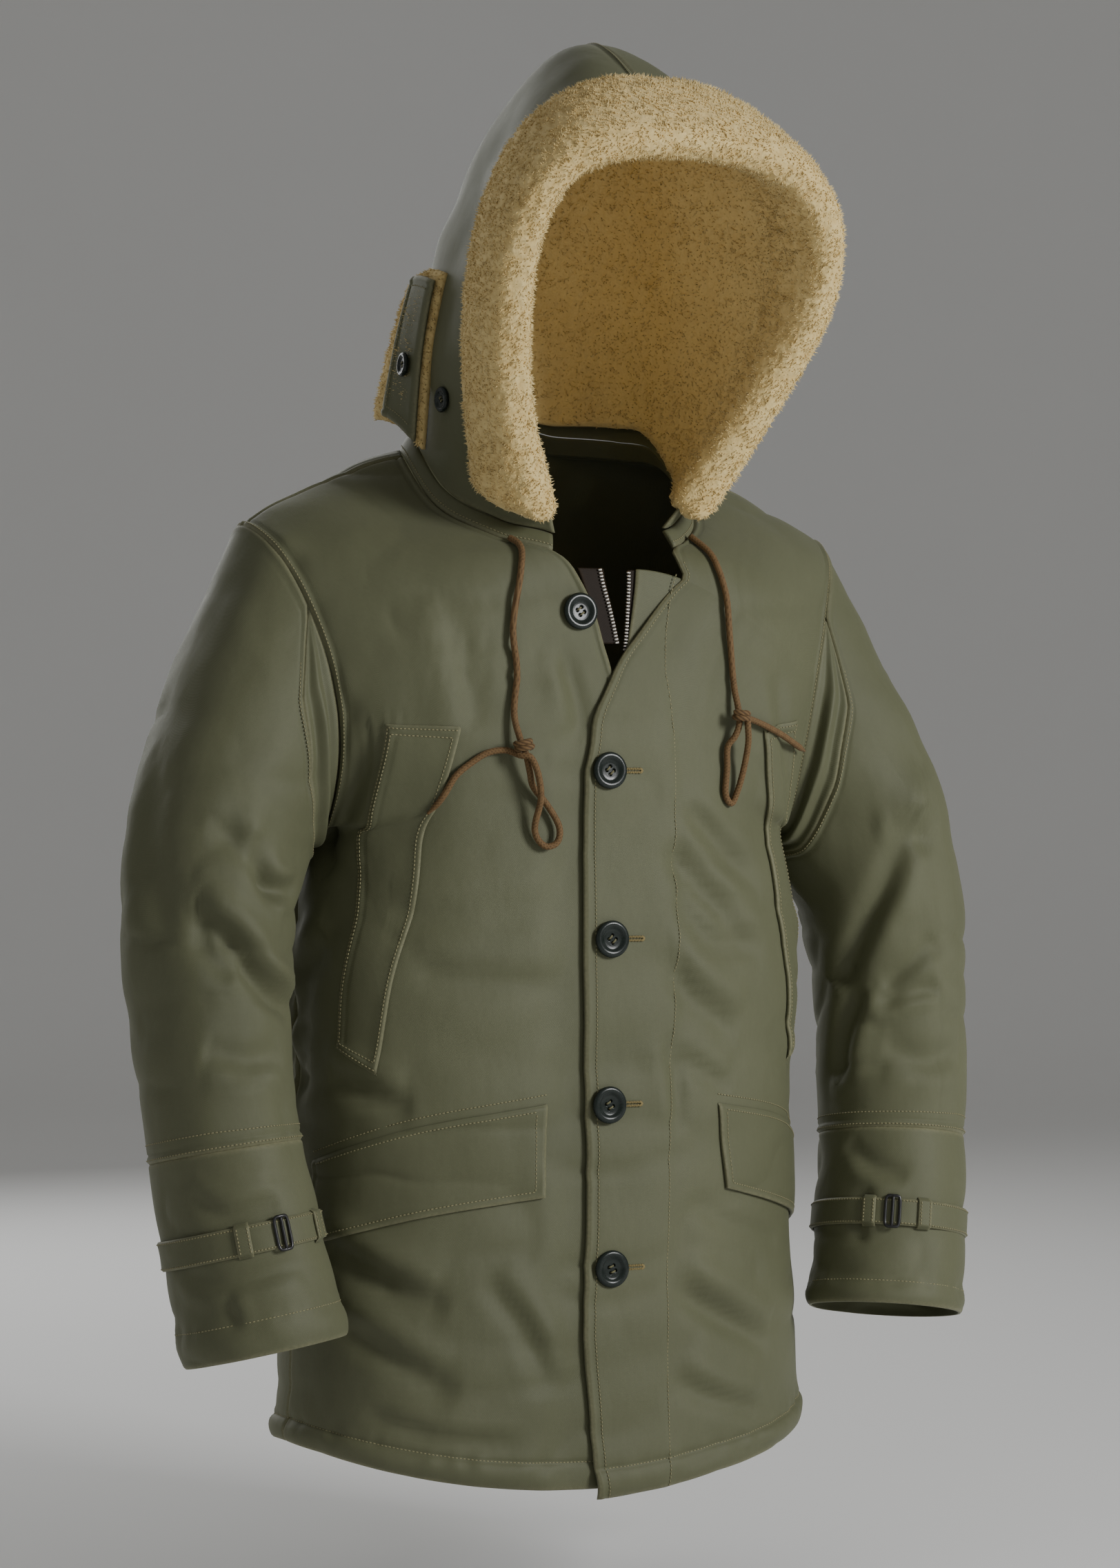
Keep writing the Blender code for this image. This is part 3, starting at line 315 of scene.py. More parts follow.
# %% Any place on the body
def torso(s, t):
    """Cubic curve (1-s)^3 A + 3s(1-s)^2 B + 3s^2(1-s) C + s^3 D of row t, straight on before the centre."""
    s, t = np.broadcast_arrays(np.asarray(s, float), np.asarray(t, float))
    v = smooth(ROWS[:, 0], ROWS[:, 1:], t)
    inner, reach, outer, back = v[..., 0:3].copy(), v[..., 3:6], v[..., 6:9], v[..., 9:12]
    inner[..., 0] = np.maximum(inner[..., 0], 0)
    s = s[..., None]
    p = ((1 - s)**3 * inner + 3 * s * (1 - s)**2 * (inner + reach)
         + 3 * s**2 * (1 - s) * (outer - back) + s**3 * outer)
    return np.where(s < 0, inner + 3 * s * reach, p)


def normal_of(surface, a, b, step_a, step_b, top_a):
    """Outward unit normal: the cross product of the two small steps along the surface."""
    a0 = np.where(a > top_a - step_a, a - step_a, a)
    along_a = surface(a0 + step_a, b) - surface(a0, b)
    along_b = surface(a, b + step_b) - surface(a, b - step_b)
    return unit(np.cross(along_a, along_b))


def torso_normal(s, t):
    """The way the body cloth faces."""
    s, t = np.broadcast_arrays(np.asarray(s, float), np.asarray(t, float))
    return normal_of(torso, s, t, 1e-3, 1e-3, 1.0)


def row_of_turn(turn):
    """The body row where the armhole has this turn."""
    turn = (np.asarray(turn, float) + 180) % 360 - 180
    return line_value(-TURN_ROWS[:, 1], TURN_ROWS[:, 0], -turn)


def mirrored(points, side):
    """The wearer's left as drawn, or its mirror image for the right."""
    return points * np.array((side, 1.0, 1.0))


# %% [markdown]
# The sleeve starts on the armhole and becomes a tube: a ring round a slightly bent centre line. The hood
# is a table of half widths from the face edge to the back, standing on the neck band.

# %% The sleeve
# columns: centre x, y, z, radius across, radius front to back, from the upper arm to the cuff
ARM = np.array([
    (0.296, -0.036, -0.372, 0.064, 0.070),
    (0.298, -0.042, -0.420, 0.061, 0.066),
    (0.296, -0.049, -0.470, 0.059, 0.063),
    (0.2915, -0.058, -0.525, 0.058, 0.062),
    (0.285, -0.067, -0.580, 0.0585, 0.062),
    (0.2765, -0.076, -0.635, 0.060, 0.062),
    (0.269, -0.084, -0.684, 0.061, 0.061),
])
TUBE_FROM = 0.36


def arm_ring(w, turn):
    """Centre plus radius times cos(turn) outward and sin(turn) ahead, both square to the arm."""
    knots = np.linspace(0, 1, len(ARM))
    row = smooth(knots, ARM, w)
    centre_line = ARM[:, :3]
    along = unit(smooth(knots, centre_line, np.minimum(w + 1e-3, 1))
                 - smooth(knots, centre_line, np.maximum(w - 1e-3, 0)))
    ahead = unit(np.array((0, -1.0, 0)) - along * -along[..., 1:2])
    out = unit(np.cross(ahead, along))
    c = np.cos(np.radians(turn))[..., None]
    s = np.sin(np.radians(turn))[..., None]
    return row[..., :3] + row[..., 3:4] * c * out + row[..., 4:5] * s * ahead, along


def sleeve(v, turn):
    """From the armhole a cubic blend leads to the arm's first ring; the rings go on to the cuff at v = 1."""
    v, turn = np.broadcast_arrays(np.asarray(v, float), np.asarray(turn, float))
    ring, _ = arm_ring(np.clip((v - TUBE_FROM) / (1 - TUBE_FROM), 0, 1), turn)
    first, along = arm_ring(np.zeros_like(v), turn)
    start = torso(1.0, row_of_turn(turn))
    c = np.cos(np.radians(turn))[..., None]
    s = np.sin(np.radians(turn))[..., None]
    top = np.where(c > 0, np.array((0.40, -0.04, -0.92)), np.array((0.42, -0.10, -0.90)))
    side = np.concatenate([0.80 + 0 * s, -0.16 * s, -0.58 + 0 * s], -1)
    leave = unit(c**2 * top + s**2 * side)
    gap = np.linalg.norm(first - start, axis=-1, keepdims=True)
    f = np.clip(v / TUBE_FROM, 0, 1)[..., None]
    head = ((2 * f**3 - 3 * f**2 + 1) * start + (f**3 - 2 * f**2 + f) * gap * 1.05 * leave
            + (3 * f**2 - 2 * f**3) * first + (f**3 - f**2) * gap * along)
    return np.where(v[..., None] < TUBE_FROM, head, ring)


def sleeve_normal(v, turn):
    """The way the sleeve's cloth faces."""
    v, turn = np.broadcast_arrays(np.asarray(v, float), np.asarray(turn, float))
    return normal_of(lambda b, a: sleeve(a, b), turn, np.maximum(v, 1e-3), 0.5, 1e-3, 1e9)


# %% The hood and the band that it stands on
# columns: place from the face edge to the back, place on the neckline, y and z on the crown,
# then the half width at four places up the side
HOOD = np.array([
    (0.00, 0.820, -0.238, 0.212, 0.100, 0.125, 0.119, 0.080),
    (0.14, 0.860, -0.185, 0.256, 0.107, 0.117, 0.099, 0.058),
    (0.28, 0.910, -0.130, 0.294, 0.111, 0.105, 0.079, 0.042),
    (0.42, 0.955, -0.088, 0.306, 0.108, 0.093, 0.067, 0.035),
    (0.56, 1.005, -0.035, 0.289, 0.101, 0.085, 0.060, 0.031),
    (0.70, 1.065, 0.018, 0.243, 0.086, 0.071, 0.050, 0.026),
    (0.84, 1.135, 0.056, 0.170, 0.056, 0.048, 0.034, 0.018),
    (1.00, 1.2095, 0.076, 0.060, 0.0007, 0.0006, 0.0005, 0.0004),
])


def band_top(t):
    """The neck band's upper edge: 13 mm higher and 8 mm further in than the body's neck edge."""
    p = torso(0.0, t)
    return p + 0.008 * unit((p - (0, -0.02, 0)) * (-1, -1, 0)) + (0, 0, 0.013)


def band_normal(t):
    """Square to the band's height and its length, outward."""
    n = unit(np.cross(band_top(t) - torso(0.0, t), torso(0.0, t + 1e-3) - torso(0.0, t - 1e-3)))
    return n * np.where((n * (torso(0.0, t) - (0, -0.02, 0))).sum(-1, keepdims=True) < 0, -1, 1)


def hood(q, p, side=1):
    """Half a hood: heights rise as sin(p * 90 degrees), half widths are blended up the side."""
    q, p = np.broadcast_arrays(np.asarray(q, float), np.asarray(p, float))
    row = smooth(HOOD[:, 0], HOOD[:, 1:], q)
    base = band_top(row[..., 0] + side * 0.020 * np.clip(1 - q, 0, 1)**3)
    rise = np.sin(np.clip(p, 0, 1) * np.pi / 2)
    weight = smooth(np.linspace(0, 1, 6), np.eye(6), p)
    wide = base[..., 0] * weight[..., 0] + (row[..., 3:7] * weight[..., 1:5]).sum(-1)
    wide = wide + side * 0.030 * np.clip(1 - q / 0.7, 0, 1)**2 * (1 - p) * np.sin(np.pi * p)
    y = base[..., 1] + (row[..., 1] - base[..., 1]) * rise
    z = base[..., 2] + (row[..., 2] - base[..., 2]) * rise
    return np.stack([wide, y, z], -1)


def hood_normal(q, p, side):
    """The way the hood's cloth faces, held off the seam so that its walls don't cross the crown."""
    q, p = np.broadcast_arrays(np.clip(q, 2e-3, 0.985), np.clip(p, 0, 1))
    n = -normal_of(lambda a, b: hood(b, a, side), p, q, 2e-3, 2e-3, 1.0)
    n[..., 0] = np.minimum(n[..., 0], hood(q, p, side)[..., 0] / 0.004)
    return unit(n)


def hood_ahead(q, p, side):
    """The hood's form, carried straight on in front of the face edge where q is below zero."""
    slope = (hood(0 * q + 0.03, p, side) - hood(0 * q, p, side)) / 0.03
    return hood(np.maximum(q, 0), p, side) + slope * np.minimum(q, 0)[..., None]


print("hood top", round(float(hood(0.42, 1.0)[2]), 3), "cuff", np.round(sleeve(1.0, 0.0), 3))

# %% [markdown]
# ## Finishes
# Materials are made of nodes that read a place on the object or the piece's own map, never a picture. One
# helper adds a node and joins it to what it reads, so that each finish can be written as a short list.


# %% A helper for nodes
def new_finish(name):
    """An empty node material with its surface shader."""
    finish = bpy.data.materials.new(name)
    finish.use_nodes = True
    tree = finish.node_tree
    shader = tree.nodes["Principled BSDF"]
    return finish, tree, shader


def feed(tree, made, sockets):
    """Give each input of a node a value or the output that it reads."""
    for key, value in sockets.items():
        if isinstance(value, bpy.types.NodeSocket):
            tree.links.new(value, made.inputs[key])
        else:
            made.inputs[key].default_value = value


def node(tree, kind, sockets=(), **settings):
    """Add a node with its settings and inputs."""
    made = tree.nodes.new(kind)
    for key, value in settings.items():
        setattr(made, key, value)
    feed(tree, made, dict(sockets))
    return made


def noise(tree, space, scale, detail):
    """Noise in space as a number from 0 to 1; a larger scale makes a finer grain."""
    sockets = {"Vector": space.outputs["Object"], "Scale": scale, "Detail": detail}
    return node(tree, "ShaderNodeTexNoise", sockets).outputs["Fac"]


def bump(tree, height, distance, strength, **more):
    """A surface normal bent by a height: how far it stands out and how strongly it shows."""
    sockets = {"Height": height, "Distance": distance, "Strength": strength, **more}
    return node(tree, "ShaderNodeBump", sockets).outputs[0]


def tint(tree, share, dark, light):
    """From one colour to another by a number from 0 to 1."""
    ramp = node(tree, "ShaderNodeValToRGB", {"Fac": share})
    ramp.color_ramp.elements[0].color = (*dark, 1)
    ramp.color_ramp.elements[1].color = (*light, 1)
    return ramp.outputs["Color"]


def mix_colour(tree, share, first, second, blend="MIX"):
    """Two colours mixed by a share."""
    mix = node(tree, "ShaderNodeMix", {0: share, 6: first, 7: second}, data_type="RGBA", blend_type=blend)
    return mix.outputs[2]


def maths(tree, operation, first, second=0.0, third=0.0):
    """One sum on numbers."""
    return node(tree, "ShaderNodeMath", {0: first, 1: second, 2: third}, operation=operation).outputs[0]


# %% [markdown]
# Cotton sateen is a fine diagonal weave with a soft shine. The twill is drawn on each piece's own map,
# 0.8 mm from rib to rib, and fine grain, slow shifts of colour and paler worn edges are laid over it. A
# bump from stretched noise gives the small creases that cloth has between its folds.


# %% Olive sateen
def sateen(name, dark, light, worn, rib=393.0, relief=1.0, gloss=0.30):
    """Twill ribs on the map, grain and slow colour shifts in space, and the wear marked on the mesh."""
    finish, tree, shader = new_finish(name)
    space = node(tree, "ShaderNodeTexCoord")
    turned = node(tree, "ShaderNodeMapping", {"Vector": space.outputs["UV"], "Rotation": (0, 0, 1.05)})
    ribs = node(tree, "ShaderNodeTexWave", {"Vector": turned.outputs[0], "Scale": rib, "Distortion": 1.2,
                                            "Detail": 1.0, "Detail Scale": 3.0}).outputs["Fac"]
    slow = noise(tree, space, 7.0, 4.0)
    grain = noise(tree, space, 420.0, 2.0)
    slubs = node(tree, "ShaderNodeMapping", {"Vector": space.outputs["UV"], "Scale": (900.0, 60.0, 1.0)})
    slub = node(tree, "ShaderNodeTexNoise", {"Vector": slubs.outputs[0], "Scale": 1.0, "Detail": 2.0})
    wear = node(tree, "ShaderNodeAttribute", attribute_name="wear").outputs["Fac"]
    fine = maths(tree, "MULTIPLY_ADD", ribs, 0.16, 0.86)
    fine = maths(tree, "MULTIPLY_ADD", grain, 0.10, fine)
    fine = maths(tree, "MULTIPLY_ADD", slub.outputs["Fac"], 0.10, fine)
    grey = node(tree, "ShaderNodeCombineColor", {0: fine, 1: fine, 2: fine}).outputs[0]
    base = mix_colour(tree, 1.0, tint(tree, slow, dark, light), grey, "MULTIPLY")
    rubbed = maths(tree, "MULTIPLY", wear, maths(tree, "MULTIPLY", grain, 0.9))
    long_way = node(tree, "ShaderNodeMapping", {"Vector": space.outputs["Object"], "Scale": (1.0, 1.0, 0.55),
                                                "Rotation": (0.5, 0.3, 0.2)})
    crease = node(tree, "ShaderNodeTexNoise", {"Vector": long_way.outputs[0], "Scale": 26.0, "Detail": 3.0,
                                               "Roughness": 0.45})
    soft = bump(tree, crease.outputs["Fac"], 0.0036 * relief, 0.55)
    weave = maths(tree, "MULTIPLY_ADD", grain, 0.5, ribs)
    feed(tree, shader, {
        "Base Color": mix_colour(tree, rubbed, base, (*worn, 1)),
        "Roughness": maths(tree, "MULTIPLY_ADD", slow, 0.10, 0.52),
        "Normal": bump(tree, weave, 0.00010, 0.6, Normal=soft),
        "Specular IOR Level": gloss,
        "Sheen Weight": 0.12 * relief,
        "Sheen Roughness": 0.45,
        "Sheen Tint": (0.80, 0.82, 0.66, 1),
    })
    return finish


SATEEN = sateen("olive_sateen", (0.082, 0.087, 0.045), (0.128, 0.133, 0.074), (0.25, 0.240, 0.140))
TAPE = sateen("brown_tape", (0.012, 0.008, 0.005), (0.024, 0.016, 0.010), (0.05, 0.035, 0.02),
              rib=250.0, relief=0.1, gloss=0.12)
print("cloth finishes:", SATEEN.name, TAPE.name)


# %% [markdown]
# Sheared sheepskin is matt and creamy. The mesh marks how far up the pile each point is, and the colour
# follows that mark: honey coloured deep in the pile and between curls, which is painted shade, and cream
# at the tips, with a slow drift as in any real fleece.


# %% Sheepskin, thread, braid
def fleece_finish():
    """Honey at the roots as painted shade deep in the pile, cream at the tips, with clumps a few millimetres
    across.
    """
    finish, tree, shader = new_finish("sheepskin")
    space = node(tree, "ShaderNodeTexCoord")
    pile_shade = node(tree, "ShaderNodeAttribute", attribute_name="pile").outputs["Fac"]
    curl = noise(tree, space, 260.0, 3.0)
    slow = noise(tree, space, 22.0, 3.0)
    # Low pile marks turn the colour to honey: painted shade deep in the pile, between curls and under the
    # fleece.
    share = maths(tree, "MULTIPLY_ADD", slow, 0.35, maths(tree, "MULTIPLY", pile_shade, 0.75))
    share = maths(tree, "MULTIPLY_ADD", curl, 0.30, maths(tree, "SUBTRACT", share, 0.20))
    feed(tree, shader, {
        "Base Color": tint(tree, share, (0.47, 0.310, 0.100), (0.88, 0.71, 0.35)),
        "Normal": bump(tree, curl, 0.0012, 0.8),
        "Roughness": 0.95,
        "Specular IOR Level": 0.15,
        "Sheen Weight": 0.25,
        "Sheen Roughness": 0.55,
        "Sheen Tint": (1.0, 0.88, 0.62, 1),
    })
    return finish


def strand_finish(name, dark, light, mark, rough=0.7):
    """A twisted or braided yarn with painted shade between its strands and painted light on their tops, with
    fine fibres across.
    """
    finish, tree, shader = new_finish(name)
    space = node(tree, "ShaderNodeTexCoord")
    height = node(tree, "ShaderNodeAttribute", attribute_name=mark).outputs["Fac"]
    fibre = noise(tree, space, 900.0, 2.0)
    # The strand mark darkens the grooves and lightens the crowns of the strands: painted shade and painted
    # light.
    share = maths(tree, "MULTIPLY_ADD", fibre, 0.5, maths(tree, "MULTIPLY", height, 0.7))
    feed(tree, shader, {
        "Base Color": tint(tree, share, dark, light),
        "Normal": bump(tree, fibre, 0.00015, 0.7),
        "Roughness": rough,
        "Specular IOR Level": 0.2,
        "Sheen Weight": 0.05,
    })
    return finish


FLEECE = fleece_finish()
BRAID = strand_finish("brown_braid", (0.035, 0.018, 0.007), (0.190, 0.115, 0.050), "strand")
THREAD = strand_finish("olive_thread", (0.120, 0.112, 0.055), (0.290, 0.270, 0.150), "strand", 0.55)
GOLD_THREAD = strand_finish("gold_thread", (0.120, 0.095, 0.035), (0.300, 0.240, 0.105), "strand", 0.5)
print("pile and yarn finishes:", FLEECE.name, BRAID.name, THREAD.name, GOLD_THREAD.name)


# %% [markdown]
# The buttons are pressed from a dark green-black plastic that is polished on top, the buckles are black
# enamel on metal, and the zip teeth are bare nickel. Hard finishes live from their gloss, so each gets an
# uneven roughness and a few fine scuffs.


# %% Buttons, enamel and nickel
def hard_finish(name, dark, light, rough, metal=0.0, coat=0.0, scuff=0.25):
    """A hard polished surface: slow clouding of colour, and roughness that rises where it is scuffed."""
    finish, tree, shader = new_finish(name)
    space = node(tree, "ShaderNodeTexCoord")
    scratch = noise(tree, space, 600.0, 3.0)
    feed(tree, shader, {
        "Base Color": tint(tree, noise(tree, space, 90.0, 4.0), dark, light),
        "Roughness": maths(tree, "MULTIPLY_ADD", scratch, scuff, rough),
        "Normal": bump(tree, scratch, 0.00003, 0.5),
        "Metallic": metal,
        "Coat Weight": coat,
        "Coat Roughness": 0.08,
        "Specular IOR Level": 0.5 if metal > 0 else 0.28,
    })
    return finish


HORN = hard_finish("button_plastic", (0.007, 0.011, 0.009), (0.018, 0.025, 0.021), 0.20,
                   coat=0.05, scuff=0.12)
ENAMEL = hard_finish("black_enamel", (0.008, 0.008, 0.009), (0.020, 0.020, 0.021), 0.28, metal=0.3, coat=0.3)
NICKEL = hard_finish("nickel", (0.42, 0.40, 0.37), (0.62, 0.60, 0.56), 0.24, metal=1.0)
print("hard finishes:", HORN.name, ENAMEL.name, NICKEL.name)

# %% [markdown]
# ## Drawcords
# A braided cord comes out under the wool on each side, hangs down the chest, is tied in a knot with one
# loop, and its cut end is waxed to a point. Its route is a table of places on the chest with the height
# of the cord's centre over the cloth. The braid is two families of strands winding opposite ways; the
# higher one shows.

# %% Routes of the two cords
# columns: place across and along the chest, height of the centre line above the cloth
CORD_RIGHT = np.array([
    (0.020, 0.842, 0.0029), (0.10, 0.812, 0.0032), (0.20, 0.778, 0.0040), (0.279, 0.742, 0.0045),
    (0.283, 0.710, 0.0042), (0.284, 0.674, 0.0050), (0.262, 0.650, 0.0085), (0.240, 0.634, 0.0098),
    (0.222, 0.617, 0.0085), (0.203, 0.600, 0.0050), (0.161, 0.578, 0.0042), (0.128, 0.556, 0.0042),
    (0.131, 0.543, 0.0042), (0.161, 0.541, 0.0042), (0.186, 0.554, 0.0050), (0.186, 0.585, 0.0110),
    (0.205, 0.612, 0.0150), (0.232, 0.630, 0.0160), (0.258, 0.634, 0.0130), (0.275, 0.638, 0.0070),
    (0.300, 0.642, 0.0048), (0.350, 0.644, 0.0042), (0.395, 0.640, 0.0042), (0.444, 0.632, 0.0056),
    (0.467, 0.617, 0.0062), (0.503, 0.592, 0.0062),
])
CORD_LEFT = np.array([
    (0.020, 0.868, 0.0029), (0.12, 0.845, 0.0032), (0.24, 0.815, 0.0040), (0.342, 0.780, 0.0045),
    (0.385, 0.745, 0.0042), (0.405, 0.712, 0.0050), (0.404, 0.694, 0.0085), (0.398, 0.676, 0.0098),
    (0.376, 0.662, 0.0085), (0.351, 0.650, 0.0050), (0.342, 0.630, 0.0042), (0.325, 0.605, 0.0042),
    (0.330, 0.592, 0.0042), (0.348, 0.590, 0.0042), (0.372, 0.608, 0.0050), (0.396, 0.634, 0.0090),
    (0.412, 0.660, 0.0140), (0.412, 0.674, 0.0160), (0.430, 0.682, 0.0125), (0.465, 0.686, 0.0066),
    (0.544, 0.689, 0.0062), (0.650, 0.692, 0.0062), (0.760, 0.694, 0.0062), (0.860, 0.696, 0.0062),
])
CORD_RADIUS = 0.0025


def cord_route(side, table, count):
    """Points of the centre line and the cloth's direction under each."""
    row = smooth(np.linspace(0, 1, len(table)), table, np.linspace(0, 1, count))
    facing = torso_normal(row[:, 0], row[:, 1])
    return mirrored(torso(row[:, 0], row[:, 1]) + facing * row[:, 2:3], side), mirrored(facing, side)


# %% A skin round a path
def round_path(path, facing, radii, around):
    """Rings of points square to a path: radius times (cos a, sin a) in the two directions across it."""
    along = unit(np.gradient(path, axis=0))
    side = unit(np.cross(along, facing))
    up = np.cross(side, along)
    angle = np.linspace(0, 2 * np.pi, around, endpoint=False)
    ring = np.cos(angle)[:, None] * side[:, None] + np.sin(angle)[:, None] * up[:, None]
    return path[:, None] + ring * np.broadcast_to(radii, (len(path), around))[..., None]


def tube_faces(rings, around, first=0):
    """Quads between neighbouring rings, and a fan of triangles to one more point at each end."""
    i, j = np.meshgrid(np.arange(rings - 1), np.arange(around), indexing="ij")
    k = (j + 1) % around
    this, other = i * around, (i + 1) * around
    quads = np.stack([this + j, this + k, other + k, other + j], -1).reshape(-1, 4)
    j = np.arange(around)
    k = (j + 1) % around
    last = (rings - 1) * around
    fans = np.concatenate([np.stack([k, j, 0 * j + rings * around], -1),
                           np.stack([last + j, last + k, 0 * j + rings * around + 1], -1)])
    return quads + first, fans + first


def outward(points, quads, fans):
    """The same faces, turned round if the closed body that they make is inside out."""
    a, b, c = points[quads[:, 0]], points[quads[:, 1]], points[quads[:, 2]]
    d = points[quads[:, 3]]
    size = (a * np.cross(b, c)).sum() + (a * np.cross(c, d)).sum()
    size += (points[fans[:, 0]] * np.cross(points[fans[:, 1]], points[fans[:, 2]])).sum()
    return (quads, fans) if size > 0 else (quads[:, ::-1], fans[:, ::-1])


def closed_tube(rings):
    """Points and faces of a closed body through rings, with a middle point at each end."""
    n, m = rings.shape[:2]
    points = np.concatenate([rings.reshape(-1, 3), rings[0].mean(0)[None], rings[-1].mean(0)[None]])
    return points, *outward(points, *tube_faces(n, m))


def merge(parts):
    """Several closed bodies as one set of points, quads and triangles."""
    points, quads, fans, first = [], [], [], 0
    for p, q, f in parts:
        points.append(p)
        quads.append(q + first)
        fans.append(f + first)
        first += len(p)
    return np.concatenate(points), np.concatenate(quads), np.concatenate(fans)


# %% Braid both cords and wrap their knots
def braided_cord(name, side, table, tag, knot_at):
    """Radius times 0.92 plus a tenth of the strands' height, with 8 strands and one turn in 11 mm."""
    path, facing = cord_route(side, table, 420)
    walked = np.concatenate([[0], np.cumsum(np.linalg.norm(np.diff(path, axis=0), axis=1))])
    angle = np.linspace(0, 2 * np.pi, 24, endpoint=False)
    turn = 2 * np.pi * walked[:, None] / 0.011
    one = 0.5 + 0.5 * np.cos(4 * (angle + turn))
    other = 0.5 + 0.5 * np.cos(4 * (angle - turn))
    strand = np.maximum(one, other)
    slim = 1 - 0.55 * ease((walked[:, None] - walked[-1] + 0.012) / 0.012)
    rings = round_path(path, facing, CORD_RADIUS * (0.90 + 0.13 * strand) * slim, 24)
    points, quads, fans = closed_tube(rings)
    # The strands' height also sets their colour: painted shade in the grooves, painted light on the crowns.
    mark = {"strand": np.append(strand.ravel(), (0.5, 0.5))}
    cord = lay_mesh(name, points, [quads, fans], marks=mark)
    dress(cord, BRAID, (tag,))
    middle, up = path[knot_at], facing[knot_at]
    ahead = unit(path[knot_at + 8] - path[knot_at - 8])
    spin = np.linspace(0, 2 * np.pi * 1.6, 90)
    coil = (middle + up * 0.0028 + ahead * (spin / spin[-1] - 0.5)[:, None] * 0.0065
            + 0.0056 * (np.cos(spin)[:, None] * np.cross(ahead, up) + 0.75 * np.sin(spin)[:, None] * up))
    twist = 0.5 + 0.5 * np.cos(4 * (angle + 2 * spin[:, None]))
    rings = round_path(coil, unit(coil - middle), CORD_RADIUS * (0.86 + 0.13 * twist), 24)
    points, quads, fans = closed_tube(rings)
    # The knot's strands get the same painted shade in their grooves.
    mark = {"strand": np.append(twist.ravel(), (0.5, 0.5))}
    knot = lay_mesh(name + "_knot", points, [quads, fans], marks=mark)
    dress(knot, BRAID)
    route, _ = cord_route(side, table, 5 * len(table) // 2)
    print(name, "length", round(float(walked[-1]), 3), "m")


braided_cord("cord_right", -1, CORD_RIGHT, "drawcord_right", 108)
braided_cord("cord_left", 1, CORD_LEFT, "drawcord_left", 121)

# %% [markdown]
# ## Folds
# Cloth on a body makes folds where it is pulled or pushed: from the armpits, at the bent elbow, below
# pocket corners and along the buttoned edge. Each fold is drawn as a line on the form with a width and a
# height. The cloth moves by height times exp(-(distance / width)^2), fading to nothing at both ends of
# the line, and a lower ridge beside each trough makes it read as pushed cloth. The hidden sides get the
# same kind of folds.


# %% How a fold moves the cloth
def fold_line(surface, side, places):
    """A fold's line in space: a smooth curve through its places, 34 points long."""
    places = np.array(places, float)
    at = smooth(np.linspace(0, 1, len(places)), places, np.linspace(0, 1, 34))
    return mirrored(surface(at[:, 0], at[:, 1]), side)


def fold_set(surface, rows):
    """Every fold of a table as (line, width, height); its ridge runs beside it, shifted by the last pair."""
    made = []
    for side, width, height, shift, places in rows:
        width, height = 0.95 * width / 1000, 1.9 * height / 1000
        made.append((fold_line(surface, side, places), width, height))
        if shift is not None:
            made.append((fold_line(surface, side, np.array(places) + shift), width * 1.25, -0.62 * height))
    return made


def folded(points, folds):
    """The sum of all folds at these points."""
    flat = points.reshape(-1, 3)
    total = np.zeros(len(flat))
    for line, width, height in folds:
        near = ((flat > line.min(0) - 3 * width) & (flat < line.max(0) + 3 * width)).all(1)
        if near.any():
            gap = np.linalg.norm(flat[near][:, None] - line, axis=-1)
            place = gap.argmin(1) / (len(line) - 1)
            total[near] += height * np.exp(-(gap.min(1) / width)**2) * (1 - (2 * place - 1)**4)
    return total.reshape(points.shape[:-1])


